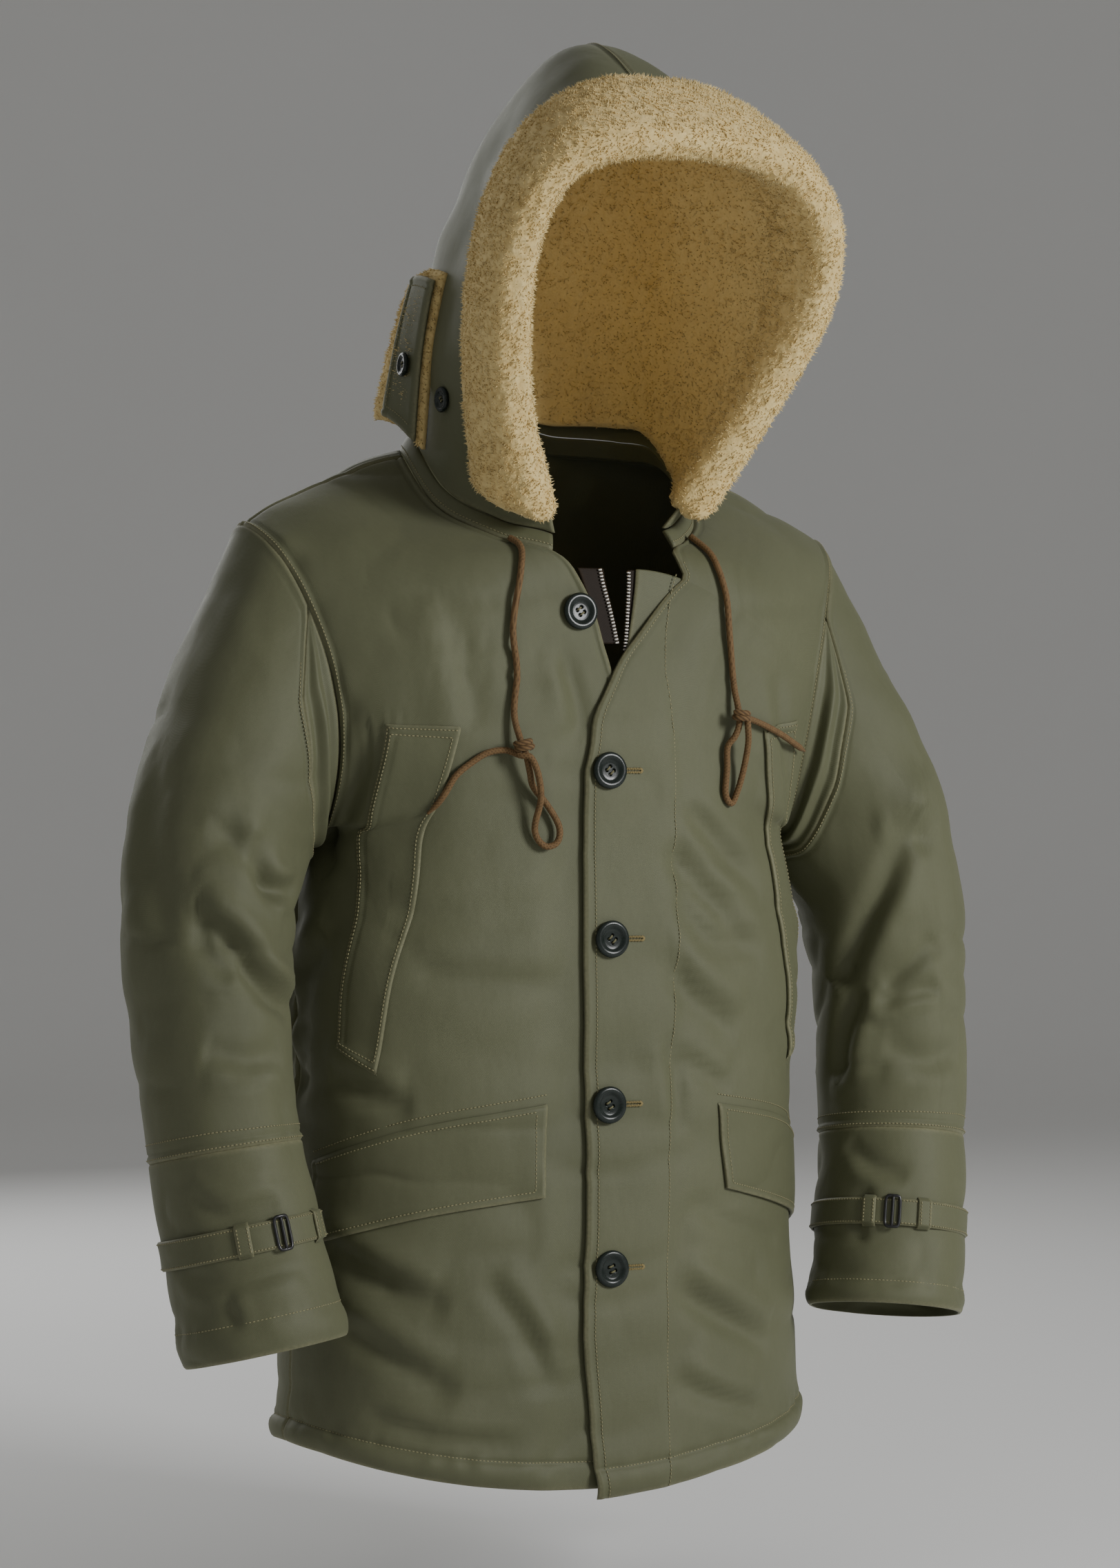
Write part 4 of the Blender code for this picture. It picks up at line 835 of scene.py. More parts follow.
# %% Folds of the body
# columns: side, width and height in mm, shift of the ridge beside it, places across and along the body
BODY_FOLDS = fold_set(torso, (
    (-1, 13, -4.5, (-0.07, 0.0), ((0.83, 0.72), (0.885, 0.65), (0.88, 0.58), (0.80, 0.52))),
    (-1, 14, -2.0, (0.08, 0.0), ((0.50, 0.80), (0.45, 0.72), (0.40, 0.667))),
    (-1, 8, -1.8, (0, 0.020), ((0.474, 0.452), (0.321, 0.445), (0.188, 0.443), (0.084, 0.441))),
    (-1, 9, -1.5, (0, 0.022), ((0.569, 0.490), (0.399, 0.488), (0.223, 0.490), (0.10, 0.493))),
    (-1, 9, -3.2, (0.02, 0.022), ((0.800, 0.376), (0.619, 0.361), (0.485, 0.350))),
    (-1, 12, -4.6, (0.02, 0.030), ((0.800, 0.225), (0.575, 0.190), (0.390, 0.168))),
    (-1, 12, -4.2, (0.03, 0.026), ((0.760, 0.150), (0.546, 0.115), (0.360, 0.085))),
    (-1, 10, -2.8, (-0.04, 0.010), ((0.302, 0.204), (0.201, 0.149), (0.138, 0.091))),
    (-1, 7, -2.2, (0, 0.014), ((0.640, 0.055), (0.402, 0.043), (0.200, 0.044))),
    (-1, 8, -1.8, (0.05, 0.0), ((0.133, 0.715), (0.085, 0.675), (0.064, 0.640))),
    (1, 9, -3.4, (0.03, 0.024), ((0.125, 0.540), (0.184, 0.517), (0.274, 0.488), (0.420, 0.452))),
    (1, 10, -2.8, (0.03, 0.022), ((0.180, 0.575), (0.284, 0.541), (0.450, 0.506))),
    (1, 9, -3.4, (0.02, 0.020), ((0.101, 0.460), (0.188, 0.429), (0.323, 0.403))),
    (1, 8, -2.4, (0.02, 0.018), ((0.130, 0.505), (0.226, 0.473), (0.366, 0.462))),
    (1, 7, -2.4, (0, 0.016), ((0.138, 0.389), (0.235, 0.370), (0.300, 0.362))),
    (1, 8, -2.2, None, ((0.180, 0.266), (0.312, 0.240), (0.557, 0.213))),
    (1, 11, -4.4, (0.02, 0.026), ((0.141, 0.185), (0.259, 0.152), (0.486, 0.105))),
    (1, 8, -3.0, (0.02, 0.018), ((0.129, 0.095), (0.253, 0.068), (0.420, 0.045))),
    (1, 8, -2.0, (-0.04, 0), ((0.112, 0.405), (0.139, 0.373), (0.150, 0.327))),
    (1, 11, -3.6, (-0.06, 0), ((0.640, 0.750), (0.690, 0.712), (0.730, 0.660), (0.780, 0.600))),
    (1, 11, -3.0, (0.0, 0.022), ((0.70, 0.470), (0.84, 0.440), (0.98, 0.430))),
    (-1, 12, -3.5, (0.0, 0.024), ((0.80, 0.470), (0.90, 0.455), (0.99, 0.450), (0.99, 1.550), (0.80, 1.530))),
    (1, 12, -3.5, (0.0, -0.024), ((0.99, 1.570), (0.82, 1.560), (0.60, 1.530))),
    (1, 13, -4.0, (0.05, 0.0), ((0.92, 1.380), (0.88, 1.450), (0.76, 1.520), (0.60, 1.570))),
    (-1, 13, -4.2, (0.05, 0.0), ((0.93, 1.370), (0.87, 1.440), (0.72, 1.500), (0.50, 1.535))),
    (1, 12, -2.8, (0.0, 0.024), ((0.60, 1.620), (0.30, 1.600), (0.02, 1.612))),
    (-1, 12, -3.0, (0.0, 0.024), ((0.02, 1.655), (0.35, 1.640), (0.70, 1.665))),
    (-1, 11, -3.2, (0.03, 0.010), ((0.75, 1.760), (0.50, 1.800), (0.30, 1.860))),
    (1, 11, -3.2, (0.03, 0.010), ((0.82, 1.730), (0.60, 1.790), (0.38, 1.830))),
    (1, 9, -2.4, (0.0, 0.016), ((0.30, 1.950), (0.50, 1.940), (0.75, 1.955))),
    (-1, 9, -2.4, (0.0, 0.016), ((0.10, 1.945), (0.35, 1.955), (0.60, 1.940))),
    (1, 16, -2.6, (0.10, 0.0), ((0.30, 1.260), (0.34, 1.330), (0.30, 1.420))),
    (-1, 16, -2.8, (0.10, 0.0), ((0.42, 1.250), (0.46, 1.330), (0.40, 1.400))),
))
print("body folds:", len(BODY_FOLDS))

# %% Folds of the sleeves
# columns: side, width and height in mm, shift of the ridge beside it, places down and around the arm
SLEEVE_FOLDS = fold_set(sleeve, (
    (-1, 11, -8.5, (-0.034, 4), ((0.335, 55), (0.389, 80), (0.421, 92), (0.466, 111), (0.510, 150))),
    (-1, 9, -5.5, (-0.022, -8), ((0.235, 92), (0.280, 104), (0.292, 116), (0.262, 140))),
    (-1, 11, -3.6, (0.026, 6), ((0.250, 66), (0.282, 95), (0.318, 125))),
    (-1, 9, -3.5, (-0.020, 8), ((0.356, 60), (0.410, 66), (0.454, 86))),
    (-1, 9, -2.4, (0.020, 0), ((0.838, 5), (0.873, 37), (0.879, 77), (0.865, 110))),
    (-1, 6, -1.6, (0, 8), ((0.895, 51), (0.922, 51), (0.950, 54))),
    (-1, 8, -2.8, (-0.018, 0), ((0.752, 35), (0.788, 61), (0.780, 100))),
    (-1, 16, -2.4, (0, -24), ((0.200, 5), (0.275, 17), (0.340, 34), (0.400, 40))),
    (-1, 12, -3.5, (0.030, 0), ((0.560, 60), (0.585, 90), (0.575, 125))),
    (1, 13, -9.5, (-0.030, -14), ((0.225, 78), (0.264, 102), (0.322, 121), (0.408, 143), (0.485, 168))),
    (1, 11, -3.4, (-0.020, 6), ((0.208, 104), (0.244, 86), (0.285, 76))),
    (1, 10, -3.4, (0.024, -4), ((0.409, 84), (0.457, 107), (0.495, 128))),
    (1, 10, -4.4, (0.0, -16), ((0.490, 146), (0.573, 161), (0.650, 170))),
    (1, 9, -3.8, (0.020, 0), ((0.528, 136), (0.507, 108), (0.495, 85))),
    (1, 7, -1.8, (0, -10), ((0.815, 137), (0.857, 147), (0.899, 143))),
    (1, 8, -3.0, (0.018, 0), ((0.745, 160), (0.785, 138), (0.800, 110))),
    (1, 12, -3.2, (0.028, 0), ((0.600, 60), (0.620, 95), (0.600, 130))),
    (1, 12, -5.0, (0.026, 0), ((0.405, -50), (0.440, -95), (0.425, -140))),
    (1, 11, -4.6, (0.026, 0), ((0.505, -40), (0.520, -90), (0.500, -135))),
    (1, 12, -3.2, (0.024, 0), ((0.300, -60), (0.330, -110), (0.300, -155))),
    (1, 10, -3.0, (0.022, 0), ((0.610, -60), (0.590, -110), (0.600, -150))),
    (-1, 12, -5.4, (0.026, 0), ((0.390, -40), (0.430, -90), (0.410, -145))),
    (-1, 11, -4.4, (0.026, 0), ((0.480, -55), (0.505, -100), (0.480, -150))),
    (-1, 12, -3.2, (-0.024, 0), ((0.290, -70), (0.320, -110), (0.280, -150))),
    (-1, 10, -3.2, (0.022, 0), ((0.590, -45), (0.575, -95), (0.600, -140))),
    (1, 8, -2.0, (0.02, 0), ((0.790, -30), (0.810, -80), (0.790, -130))),
    (-1, 8, -2.0, (0.02, 0), ((0.770, -30), (0.785, -80), (0.765, -130))),
    (1, 14, -2.6, (0.0, 20), ((0.100, 20), (0.200, 30), (0.300, 24))),
))
print("sleeve folds:", len(SLEEVE_FOLDS))


# %% The finished body and sleeve, with their hem, folds and unevenness
def hem_swell(t):
    """The padded hem: up to 3 mm fuller over the lowest 22 mm."""
    return 0.003 * np.sin(np.pi * np.clip(np.minimum(t, 2 - t) / 0.027, 0, 1))


def body_cloth(side, s, t):
    """Places on the body's cloth and the way they face."""
    s, t = np.broadcast_arrays(np.asarray(s, float), np.asarray(t, float))
    p = mirrored(torso(s, t), side)
    n = mirrored(torso_normal(s, t), side)
    low = np.minimum(t, 2 - t)
    at_arm = (1 - ease((1 - s) / 0.09)) * ease((low - 0.47) / 0.07)
    at_neck = ease((low - 0.74) / 0.06) * (1 - ease(s / 0.12))
    loose = (1 - at_arm) * (1 - at_neck)
    uneven = 0.0020 * drift(p * (1, 1, 0.7), 0.070, 3) + 0.0007 * drift(p, 0.026, 5) + 0.0013 * crinkle(p, 3)
    pucker = 0.0017 * drift(p * (1, 1, 0.35), 0.0085, 9) * np.exp(-((low - 0.0245) / 0.011)**2)
    move = (folded(p, BODY_FOLDS) + uneven) * loose + hem_swell(t) + pucker
    return p + n * move[..., None], n


def sleeve_cloth(side, v, turn):
    """Places on the sleeve's cloth and the way they face."""
    v, turn = np.broadcast_arrays(np.asarray(v, float), np.asarray(turn, float))
    p = mirrored(sleeve(v, turn), side)
    n = mirrored(sleeve_normal(v, turn), side)
    uneven = (0.0020 * drift(p * (1, 1, 0.7), 0.060, 13) + 0.0006 * drift(p, 0.022, 15)
              + 0.0015 * crinkle(p, 13))
    stitch = 0.944 if side < 0 else 0.962
    pucker = 0.0015 * drift(p * (1, 1, 0.35), 0.0080, 19) * np.exp(-((v - stitch) / 0.012)**2)
    swell = 0.0022 * np.sin(np.pi * np.clip((v - stitch) / (1 - stitch), 0, 1))
    move = (folded(p, SLEEVE_FOLDS) + uneven) * ease(v / 0.10) + pucker + swell
    return p + n * move[..., None], n


# %% [markdown]
# ## Cloth panels
# Each panel is one grid laid on the form. Its outer skin rolls down at the cut edges, swells a little
# where the seam allowance lies beneath, and dips at the stitching. An inner skin 3 mm below and a rim
# make it solid, so the coat is a real hollow garment that can be looked into at the neck, cuffs and hem.

# %% A panel from one or two grids
WALL = 0.003
FINE = np.array((0, 0.0006, 0.0015, 0.0028, 0.0045, 0.0062, 0.0078, 0.0100, 0.0135))


def spread(length, count, both=True):
    """Shares of a length: close together near the edges, even between."""
    near = FINE / length
    end = 1 - near[-1] if both else 1.0
    middle = np.linspace(near[-1], end, count)
    shares = [near[:-1], middle, 1 - near[-2::-1]]
    return np.concatenate(shares if both else shares[:2])


def walked(points, axis):
    """Distance walked along a grid from its first line."""
    step = np.linalg.norm(np.diff(points, axis=axis), axis=-1)
    start = np.zeros_like(np.take(step, [0], axis=axis))
    return np.concatenate([start, np.cumsum(step, axis=axis)], axis=axis)


def flat_map(points):
    """The map of a grid in metres: distance walked across it and down it."""
    return np.stack([walked(points, 1), walked(points, 0)], -1)


def sewn_edge(d, stitched=True, roll=0.0010):
    """Relief by the distance to an edge: rolled down at it, and with stitching a swell and then a dip."""
    relief = -roll * np.exp(-(d / 0.0011)**2)
    if stitched:
        relief = relief + 0.0008 * np.exp(-((d - 0.0034) / 0.0020)**2)
        relief = relief - 0.0010 * np.exp(-((d - 0.0062) / 0.0013)**2)
    return relief


def edge_relief(points, edges):
    """Relief and wear of a grid from the edges named: low and high of its rows (a) and columns (b)."""
    down, across = walked(points, 0), walked(points, 1)
    away = {"a0": down, "a1": down[-1:] - down, "b0": across, "b1": across[:, -1:] - across}
    relief = np.zeros(points.shape[:2])
    wear = np.zeros(points.shape[:2])
    for edge, kind in edges.items():
        relief = relief + sewn_edge(away[edge], kind == "stitched")
        wear = np.maximum(wear, np.exp(-(away[edge] / 0.0022)**2))
    return relief, wear, np.stack([across, down], -1)


def weld(points):
    """Points at the same place become one: the kept points and the new number of each."""
    _, keep, number = np.unique(np.round(points, 6) + 0.0, axis=0, return_index=True, return_inverse=True)
    return keep, number.reshape(-1)


def panel(name, grids, finish, nodes, depth=WALL, mark="wear", piled=None):
    """Outer skin, inner skin and rim as one closed piece; its flat size is printed."""
    outer, inner, uv, marks, quads, first, area = [], [], [], [], [], 0, 0.0
    widths, lengths = [], []
    for p, n, relief, wear, flat in grids:
        h, w = p.shape[:2]
        k = first + np.arange(h * w).reshape(h, w)
        quad = np.stack([k[:-1, :-1], k[:-1, 1:], k[1:, 1:], k[1:, :-1]], -1).reshape(-1, 4)
        skin = (p + n * relief[..., None]).reshape(-1, 3)
        a, b, c, d = (skin[quad[:, i] - first] for i in range(4))
        cross = np.cross(c - a, d - b)
        area += float(np.linalg.norm(cross, axis=1).sum() / 2)
        if (cross * n.reshape(-1, 3)[quad[:, 0] - first]).sum() < 0:
            quad = quad[:, ::-1]
        thick = np.broadcast_to(depth, (h, w)).reshape(-1, 1)
        outer.append(skin)
        inner.append(p.reshape(-1, 3) - n.reshape(-1, 3) * thick)
        uv.append(flat.reshape(-1, 2) + len(uv) * 0.7)
        marks.append(wear.ravel())
        quads.append(quad)
        widths.append(walked(p, 1)[:, -1].max())
        lengths.append(walked(p, 0)[-1].max())
        first += h * w
    outer, inner, uv, marks, quads = (np.concatenate(x) for x in (outer, inner, uv, marks, quads))
    keep, number = weld(outer)
    count = len(keep)
    skin = number[quads]
    start, end = skin.ravel(), np.roll(skin, -1, axis=1).ravel()
    open_edge = ~np.isin(start * count + end, end * count + start)
    a, b = start[open_edge], end[open_edge]
    rim = np.stack([b, a, a + count, b + count], -1)
    corner_a, corner_b = quads.ravel()[open_edge], np.roll(quads, -1, axis=1).ravel()[open_edge]
    corners = np.concatenate([uv[quads].reshape(-1, 2), uv[quads[:, ::-1]].reshape(-1, 2),
                              uv[np.stack([corner_b, corner_a, corner_a, corner_b], -1)].reshape(-1, 2)])
    points = np.concatenate([outer[keep], inner[keep]])
    low = marks[keep] if piled is None else np.full(count, piled)
    piece = lay_mesh(name, points, [skin, skin[:, ::-1] + count, rim], corners,
                     {mark: np.concatenate([marks[keep], low * (0.3 if piled is None else 1)])})
    dress(piece, finish, nodes)
    width = sum(widths) if len(grids) == 2 else widths[0]
    length = max(lengths)
    flat = (round(float(width), 4), round(float(length), 4))
    print(name, "flat", flat, "area", round(area, 5), "faces", 2 * len(skin) + len(rim))
    return piece


# %% [markdown]
# ## Stitching
# A seam is told from a mere line by its stitches: short beads of thread with a gap between, sunk a little
# in the cloth. One bead has 16 small faces and is repeated along a line, every 3 mm.

# %% A row of stitches along a line
BEAD_RING = ((1, 0), (0, 1), (-1, 0), (0, -1))
BEAD = np.array([(-1.0, 0, 0), *[(x, y, z) for x in (-0.55, 0.55) for y, z in BEAD_RING], (1.0, 0, 0)])
BEAD_QUADS = np.array([(1 + i, 1 + (i + 1) % 4, 5 + (i + 1) % 4, 5 + i) for i in range(4)])
BEAD_FANS = np.array([(0, 1 + (i + 1) % 4, 1 + i) for i in range(4)]
                     + [(9, 5 + i, 5 + (i + 1) % 4) for i in range(4)])
STITCH_LINES = {}


def places_along(at, gone, values):
    """Values of a path at these distances along it."""
    return np.stack([np.interp(at, gone, values[:, i]) for i in range(3)], -1)


def stitch_row(group, path, facing, pitch=0.0030, wide=0.00050, lift=0.00018, long=0.40):
    """Beads along a path, each turned along it; a line is kept with its group until the group is sewn."""
    gone = walked(path[:, None], 0)[:, 0]
    count = max(int(gone[-1] / pitch), 1)
    at = (np.arange(count) + 0.5) * gone[-1] / count
    up = unit(places_along(at, gone, facing))
    along = unit(places_along(at + 0.0006, gone, path) - places_along(at - 0.0006, gone, path))
    beads(group, places_along(at, gone, path) + up * lift, along, up, long * gone[-1] / count, wide)


def stitch_lines(group, skin, n, lines, pitch=0.0030):
    """A row of stitches along each of these lines of a grid."""
    for line in lines:
        stitch_row(group, skin[line], n[line], pitch)


def beads(group, spot, along, up, half, wide):
    """Put one bead at each spot: its length along, its thickness up."""
    side = unit(np.cross(up, along))
    up = np.cross(along, side)
    half = np.broadcast_to(half, len(spot))[:, None, None]
    points = (spot[:, None] + along[:, None] * BEAD[None, :, :1] * half
              + side[:, None] * BEAD[None, :, 1:2] * wide + up[:, None] * BEAD[None, :, 2:] * wide * 0.8)
    STITCH_LINES.setdefault(group, []).append(points)


def sew(group, finish):
    """Make every bead of a group into one piece."""
    points = np.concatenate(STITCH_LINES.pop(group))
    first = np.arange(len(points))[:, None, None] * len(BEAD)
    # Bead ends are marked low and so darker: painted shade where the thread sinks into the cloth.
    strand = np.tile(np.where(np.abs(BEAD[:, 0]) > 0.9, 0.1, 0.9), len(points))
    faces = [(BEAD_QUADS + first).reshape(-1, 4), (BEAD_FANS + first).reshape(-1, 3)]
    piece = lay_mesh(group, points.reshape(-1, 3), faces, marks={"strand": strand})
    dress(piece, finish)
    print(group, "stitches", len(points))


# %% [markdown]
# ## Fronts and back
# The left front overlaps the right one, as on a coat buttoned for a man, and falls open in a small V at
# the throat. The right front runs under it, a wall's thickness lower. The back is one piece with a wing
# on each side of the neck.

# %% Where the front edges run
LEFT_EDGE = np.array([
    (0, -0.036), (0.03, -0.045), (0.143, -0.067), (0.29, -0.056), (0.456, -0.058), (0.61, -0.064),
    (0.662, -0.041), (0.711, 0.038), (0.742, 0.109), (0.778, 0.190), (0.80, 0.12), (0.82, 0.05),
])
RIGHT_EDGE = np.array([(0, -0.055), (0.65, -0.055), (0.68, -0.030), (0.70, -0.008), (0.715, 0.0)])
NECK_START = {1: 62.0, -1: 76.0}
PLACKET = np.array([
    (0.000, 0.116), (0.012, 0.117), (0.230, 0.120), (0.530, 0.145), (0.656, 0.172), (0.753, 0.153),
    (0.790, 0.15),
])


def edge_start(side, t):
    """How far from the centre line each row of a front starts."""
    start_row = row_of_turn(NECK_START[side])
    table = LEFT_EDGE if side > 0 else RIGHT_EDGE
    table = np.vstack([table[table[:, 0] < start_row - 1e-3], (start_row, 0.0), (1.3, 0.0)])
    return np.interp(t, table[:, 0], table[:, 1])


def front_cloth(side, s, t):
    """The body's cloth with what only the fronts have: overlap, hem corner and the placket's ridge."""
    p, n = body_cloth(side, s, t)
    if side > 0:
        drop = 0.008 * np.clip((0.25 - s) / 0.3, 0, 1) * np.clip(1 - t / 0.1, 0, 1)
        line = np.interp(t, PLACKET[:, 0], PLACKET[:, 1])
        ridge = 0.0011 * (1 - ease((s - line + 0.004) / 0.010)) * (1 - ease((t - 0.74) / 0.03))
        return p + n * ridge[..., None] - np.stack([0 * drop, 0 * drop, drop], -1), n
    under = 1 - ease((s - 0.085) / 0.085)
    sink = (WALL + 0.00085) * under * (1 - ease((t - 0.69) / 0.024)) + hem_swell(t) * under
    return p - n * sink[..., None], n


# %% Cut the two fronts
HEM_ROWS = np.array((0, 0.0008, 0.002, 0.004, 0.007, 0.010, 0.0135, 0.017, 0.0205, 0.0235, 0.0255, 0.0275,
                     0.0305, 0.035))
TOP_ROWS = np.array((0.9800, 0.9850, 0.9890, 0.9915, 0.9940, 0.9962, 0.9980, 0.9991, 0.9998))
LONG_ROWS = np.concatenate([HEM_ROWS, np.linspace(0.041, 0.975, 122), TOP_ROWS])


def front_piece(side):
    """One front as a grid; its rows run from the front edge to the side seam or armhole."""
    t = LONG_ROWS[:, None]
    start = edge_start(side, LONG_ROWS)[:, None]
    s = start + (0.9995 - start) * spread(0.30, 68)
    p, n = front_cloth(side, s, t + 0 * s)
    relief, wear, flat = edge_relief(p, {"a0": "plain", "a1": "plain", "b0": "stitched", "b1": "plain"})
    arm = (LONG_ROWS >= 0.54)[:, None]
    away = walked(p, 1)[:, -1:] - walked(p, 1)
    relief = relief + np.where(arm, sewn_edge(away) - sewn_edge(away, False), 0)
    relief = relief - 0.0016 * np.exp(-((t - 0.0255) / 0.0018)**2)
    tag = "left" if side > 0 else "right"
    panel("cloth_front_" + tag, [(p, n, relief, wear, flat)], SATEEN, ("front_" + tag,))
    skin = p + n * relief[..., None]
    rows = LONG_ROWS < 0.80
    if side > 0:
        stitch_row("stitching_body", skin[rows, 5], n[rows, 5])
        inner = smooth(PLACKET[:, 0], PLACKET[:, 1:], np.linspace(0.0, 0.778, 300))[:, 0]
        at, up = front_cloth(side, inner, np.linspace(0.0, 0.778, 300))
        stitch_row("stitching_body", at, up)
    at_arm = (LONG_ROWS > 0.545) & (LONG_ROWS < 0.995)
    stitch_lines("stitching_body", skin, n, (np.s_[10, 6:], (at_arm, -6)))


front_piece(1)
front_piece(-1)


# %% Cut the back
def back_piece():
    """The back: both halves drawn by the same rows and welded down the middle below the neck."""
    t = (2 - LONG_ROWS[::-1])[:, None]
    s = (1 - spread(0.29, 50, False)[::-1]) * 0.9995
    grids = []
    for side in (1, -1):
        p, n = body_cloth(side, s + 0 * t, t + 0 * s)
        below = (t[:, 0] > 1.2099)
        p[below, 0, 0] = 0
        n[below, 0, 0] = 0
        n = unit(n)
        relief, wear, flat = edge_relief(p, {"a0": "stitched", "a1": "plain", "b1": "plain"})
        away = walked(p, 1)[:, -1:] - walked(p, 1)
        relief = relief + np.where(t < 1.46, sewn_edge(away) - sewn_edge(away, False), 0)
        relief = relief - 0.0016 * np.exp(-((2 - t - 0.0255) / 0.0018)**2)
        relief = relief - np.where(t < 1.2099, 0.0010 * np.exp(-(walked(p, 1) / 0.0011)**2), 0)
        grids.append((p, n, relief, wear, flat))
        skin = p + n * relief[..., None]
        rows = (t[:, 0] > 1.006) & (t[:, 0] < 1.455)
        stitch_lines("stitching_body", skin, n, ((rows, -6), -11, np.s_[5, 3:]))
    panel("cloth_back", grids, SATEEN, ("back",))


back_piece()

# %% [markdown]
# ## Sleeves, gussets and cuffs
# Between the body and the sleeve sits a crescent of cloth that lets the arm swing forward. It is folded
# once lengthwise, so a standing pleat runs round it. The sleeve is two tubes: upper sleeve and cuff
# piece, joined by a seam with two rows of stitching.

# %% Sew the arms
GUSSET = np.array([(62, .0025), (76, .036), (84, .057), (100, .070), (112, .085), (135, .092), (180, .090)])
SLEEVE_SEAM = {1: 0.722, -1: 0.703}
CUFF_STITCH = {1: 0.962, -1: 0.944}
AROUND = np.linspace(180, -180, 109)


def pleat(f, turn):
    """A standing fold 5 mm proud at the middle of the crescent, with a furrow on each side."""
    ends = np.clip((np.abs(turn) - 66) / 30, 0, 1)
    return ends * (0.0050 * np.exp(-((f - 0.5) / 0.13)**2) - 0.0022 * np.exp(-((f - 0.27) / 0.10)**2)
                   - 0.0022 * np.exp(-((f - 0.75) / 0.10)**2))


def tube_piece(name, node_name, side, top, low, count, edges, turns=AROUND, fold=None):
    """Part of the sleeve between two heights, each height given for every turn."""
    f = spread(0.36 if count > 40 else 0.06 if count < 20 else 0.17, count)[:, None]
    v = top + (low - top) * f
    turn = np.broadcast_to(turns, v.shape)
    p, n = sleeve_cloth(side, v, turn)
    if fold is not None:
        p = p + n * fold(f, turn)[..., None]
    if turns[0] - turns[-1] == 360:
        p[:, -1] = p[:, 0]
        n[:, -1] = n[:, 0]
    relief, wear, flat = edge_relief(p, edges)
    panel(name, [(p, n, relief, wear, flat)], SATEEN, (node_name,))
    return p + n * relief[..., None], n


def arm_pieces(side, tag):
    """Gusset, upper sleeve and cuff piece, with their rows of stitching."""
    ahead = np.linspace(180, 62, 42)
    behind = np.linspace(-62, -179.5, 42)
    turns = np.concatenate([behind[::-1] + 360, ahead[1:]])
    reach = np.interp(np.abs(np.where(turns > 180, 360 - turns, turns)), GUSSET[:, 0], GUSSET[:, 1])
    tube_piece("cloth_gusset_" + tag, "gusset_" + tag, side, 0 * reach, reach, 16,
               {"a0": "plain", "a1": "plain"}, turns=(turns + 180) % 360 - 180, fold=pleat)
    reach = np.interp(np.abs(AROUND), GUSSET[:, 0], GUSSET[:, 1])
    top = np.where(np.abs(AROUND) >= 62, reach, 0)
    seam = SLEEVE_SEAM[side]
    skin, n = tube_piece("cloth_sleeve_" + tag, "sleeve_" + tag, side, top, seam + 0 * top, 70,
                         {"a0": "stitched", "a1": "stitched"})
    stitch_lines("stitching_sleeves", skin, n, (-4, -9, (4, AROUND > 70), (4, AROUND < -70)))
    tube_piece("cloth_cuff_" + tag, "sleeve_cuff_" + tag, side, seam + 0 * top, 1 + 0 * top, 26,
               {"a0": "plain", "a1": "plain"})
    at, up = sleeve_cloth(side, np.full(240, CUFF_STITCH[side]), np.linspace(180, -180, 240))
    stitch_row("stitching_sleeves", at, up)


arm_pieces(1, "left")
arm_pieces(-1, "right")

# %% [markdown]
# ## Hood and neck band
# The hood is two mirrored halves with a seam over the crown, topstitched on one side. It is not taut: the
# cloth between neck and crown sinks and rises by a few millimetres, most near the back of the head.


# %% Sew the hood
def hood_cloth(side, q, p):
    """The hood's form with soft unevenness that dies away at its seams."""
    at = mirrored(hood(q, p, side), side)
    n = mirrored(hood_normal(q, p, side), side)
    calm = ease(p / 0.15) * ease((1 - p) / 0.12) * ease((1 - q) / 0.15)
    move = (0.0035 * drift(at * (1, 1, 0.8), 0.065, 23) + 0.0012 * drift(at, 0.028, 25)) * calm
    furrow = np.exp(-((p - 0.32 - 0.25 * q) / 0.07)**2) * ease((q - 0.2) / 0.2)
    move = move + 0.002 * calm - 0.004 * calm * furrow
    return at + n * np.maximum(move, -0.0008)[..., None], n


def hood_piece(side, tag):
    """One half of the hood from the face edge to the back, neck to crown."""
    q = spread(0.33, 64)[:, None]
    p = spread(0.34, 56)[None, :]
    at, n = hood_cloth(side, q + 0 * p, p + 0 * q)
    at[:, -1, 0] = 0.00016 * side
    crown = "stitched" if side < 0 else "plain"
    relief, wear, flat = edge_relief(at, {"a0": "plain", "b0": "plain", "b1": crown})
    panel("cloth_hood_" + tag, [(at, n, relief, wear, flat)], SATEEN, ("hood_" + tag,))
    skin = at + n * relief[..., None]
    if side < 0:
        stitch_row("stitching_hood", skin[:, -6], n[:, -6])


hood_piece(1, "left")
hood_piece(-1, "right")


# %% Sew the neck band
def band_piece():
    """The narrow band between the body and the hood, straight from its lower to its upper edge."""
    grids = []
    for side in (1, -1):
        t = np.linspace(float(row_of_turn(NECK_START[side])), 1.21, 90)[:, None]
        low, high = torso(0.0 * t, t), band_top(t)
        rise = np.linspace(0, 1, 9)[None, :, None]
        p = low + (high - low) * rise
        n = unit(torso_normal(0 * t, t) * (1 - rise) * 0.5 + band_normal(t))
        p, n = mirrored(p, side), mirrored(n, side)
        p[-1, :, 0] = 0
        n[-1, :, 0] = 0
        n = unit(n)
        up = walked(p, 1)
        relief = 0.0007 * np.sin(np.pi * rise[..., 0]) - 0.0008 * np.exp(-(up / 0.0012)**2)
        relief = relief - 0.0008 * np.exp(-((up[:, -1:] - up) / 0.0012)**2)
        wear = np.exp(-(up / 0.002)**2)
        grids.append((p, n, relief, wear, np.stack([up, walked(p, 0)], -1)))
        stitch_row("stitching_hood", (p + n * relief[..., None])[:, 2], n[:, 2])
    panel("cloth_neck_band", grids, SATEEN, ("neck_band",))


band_piece()

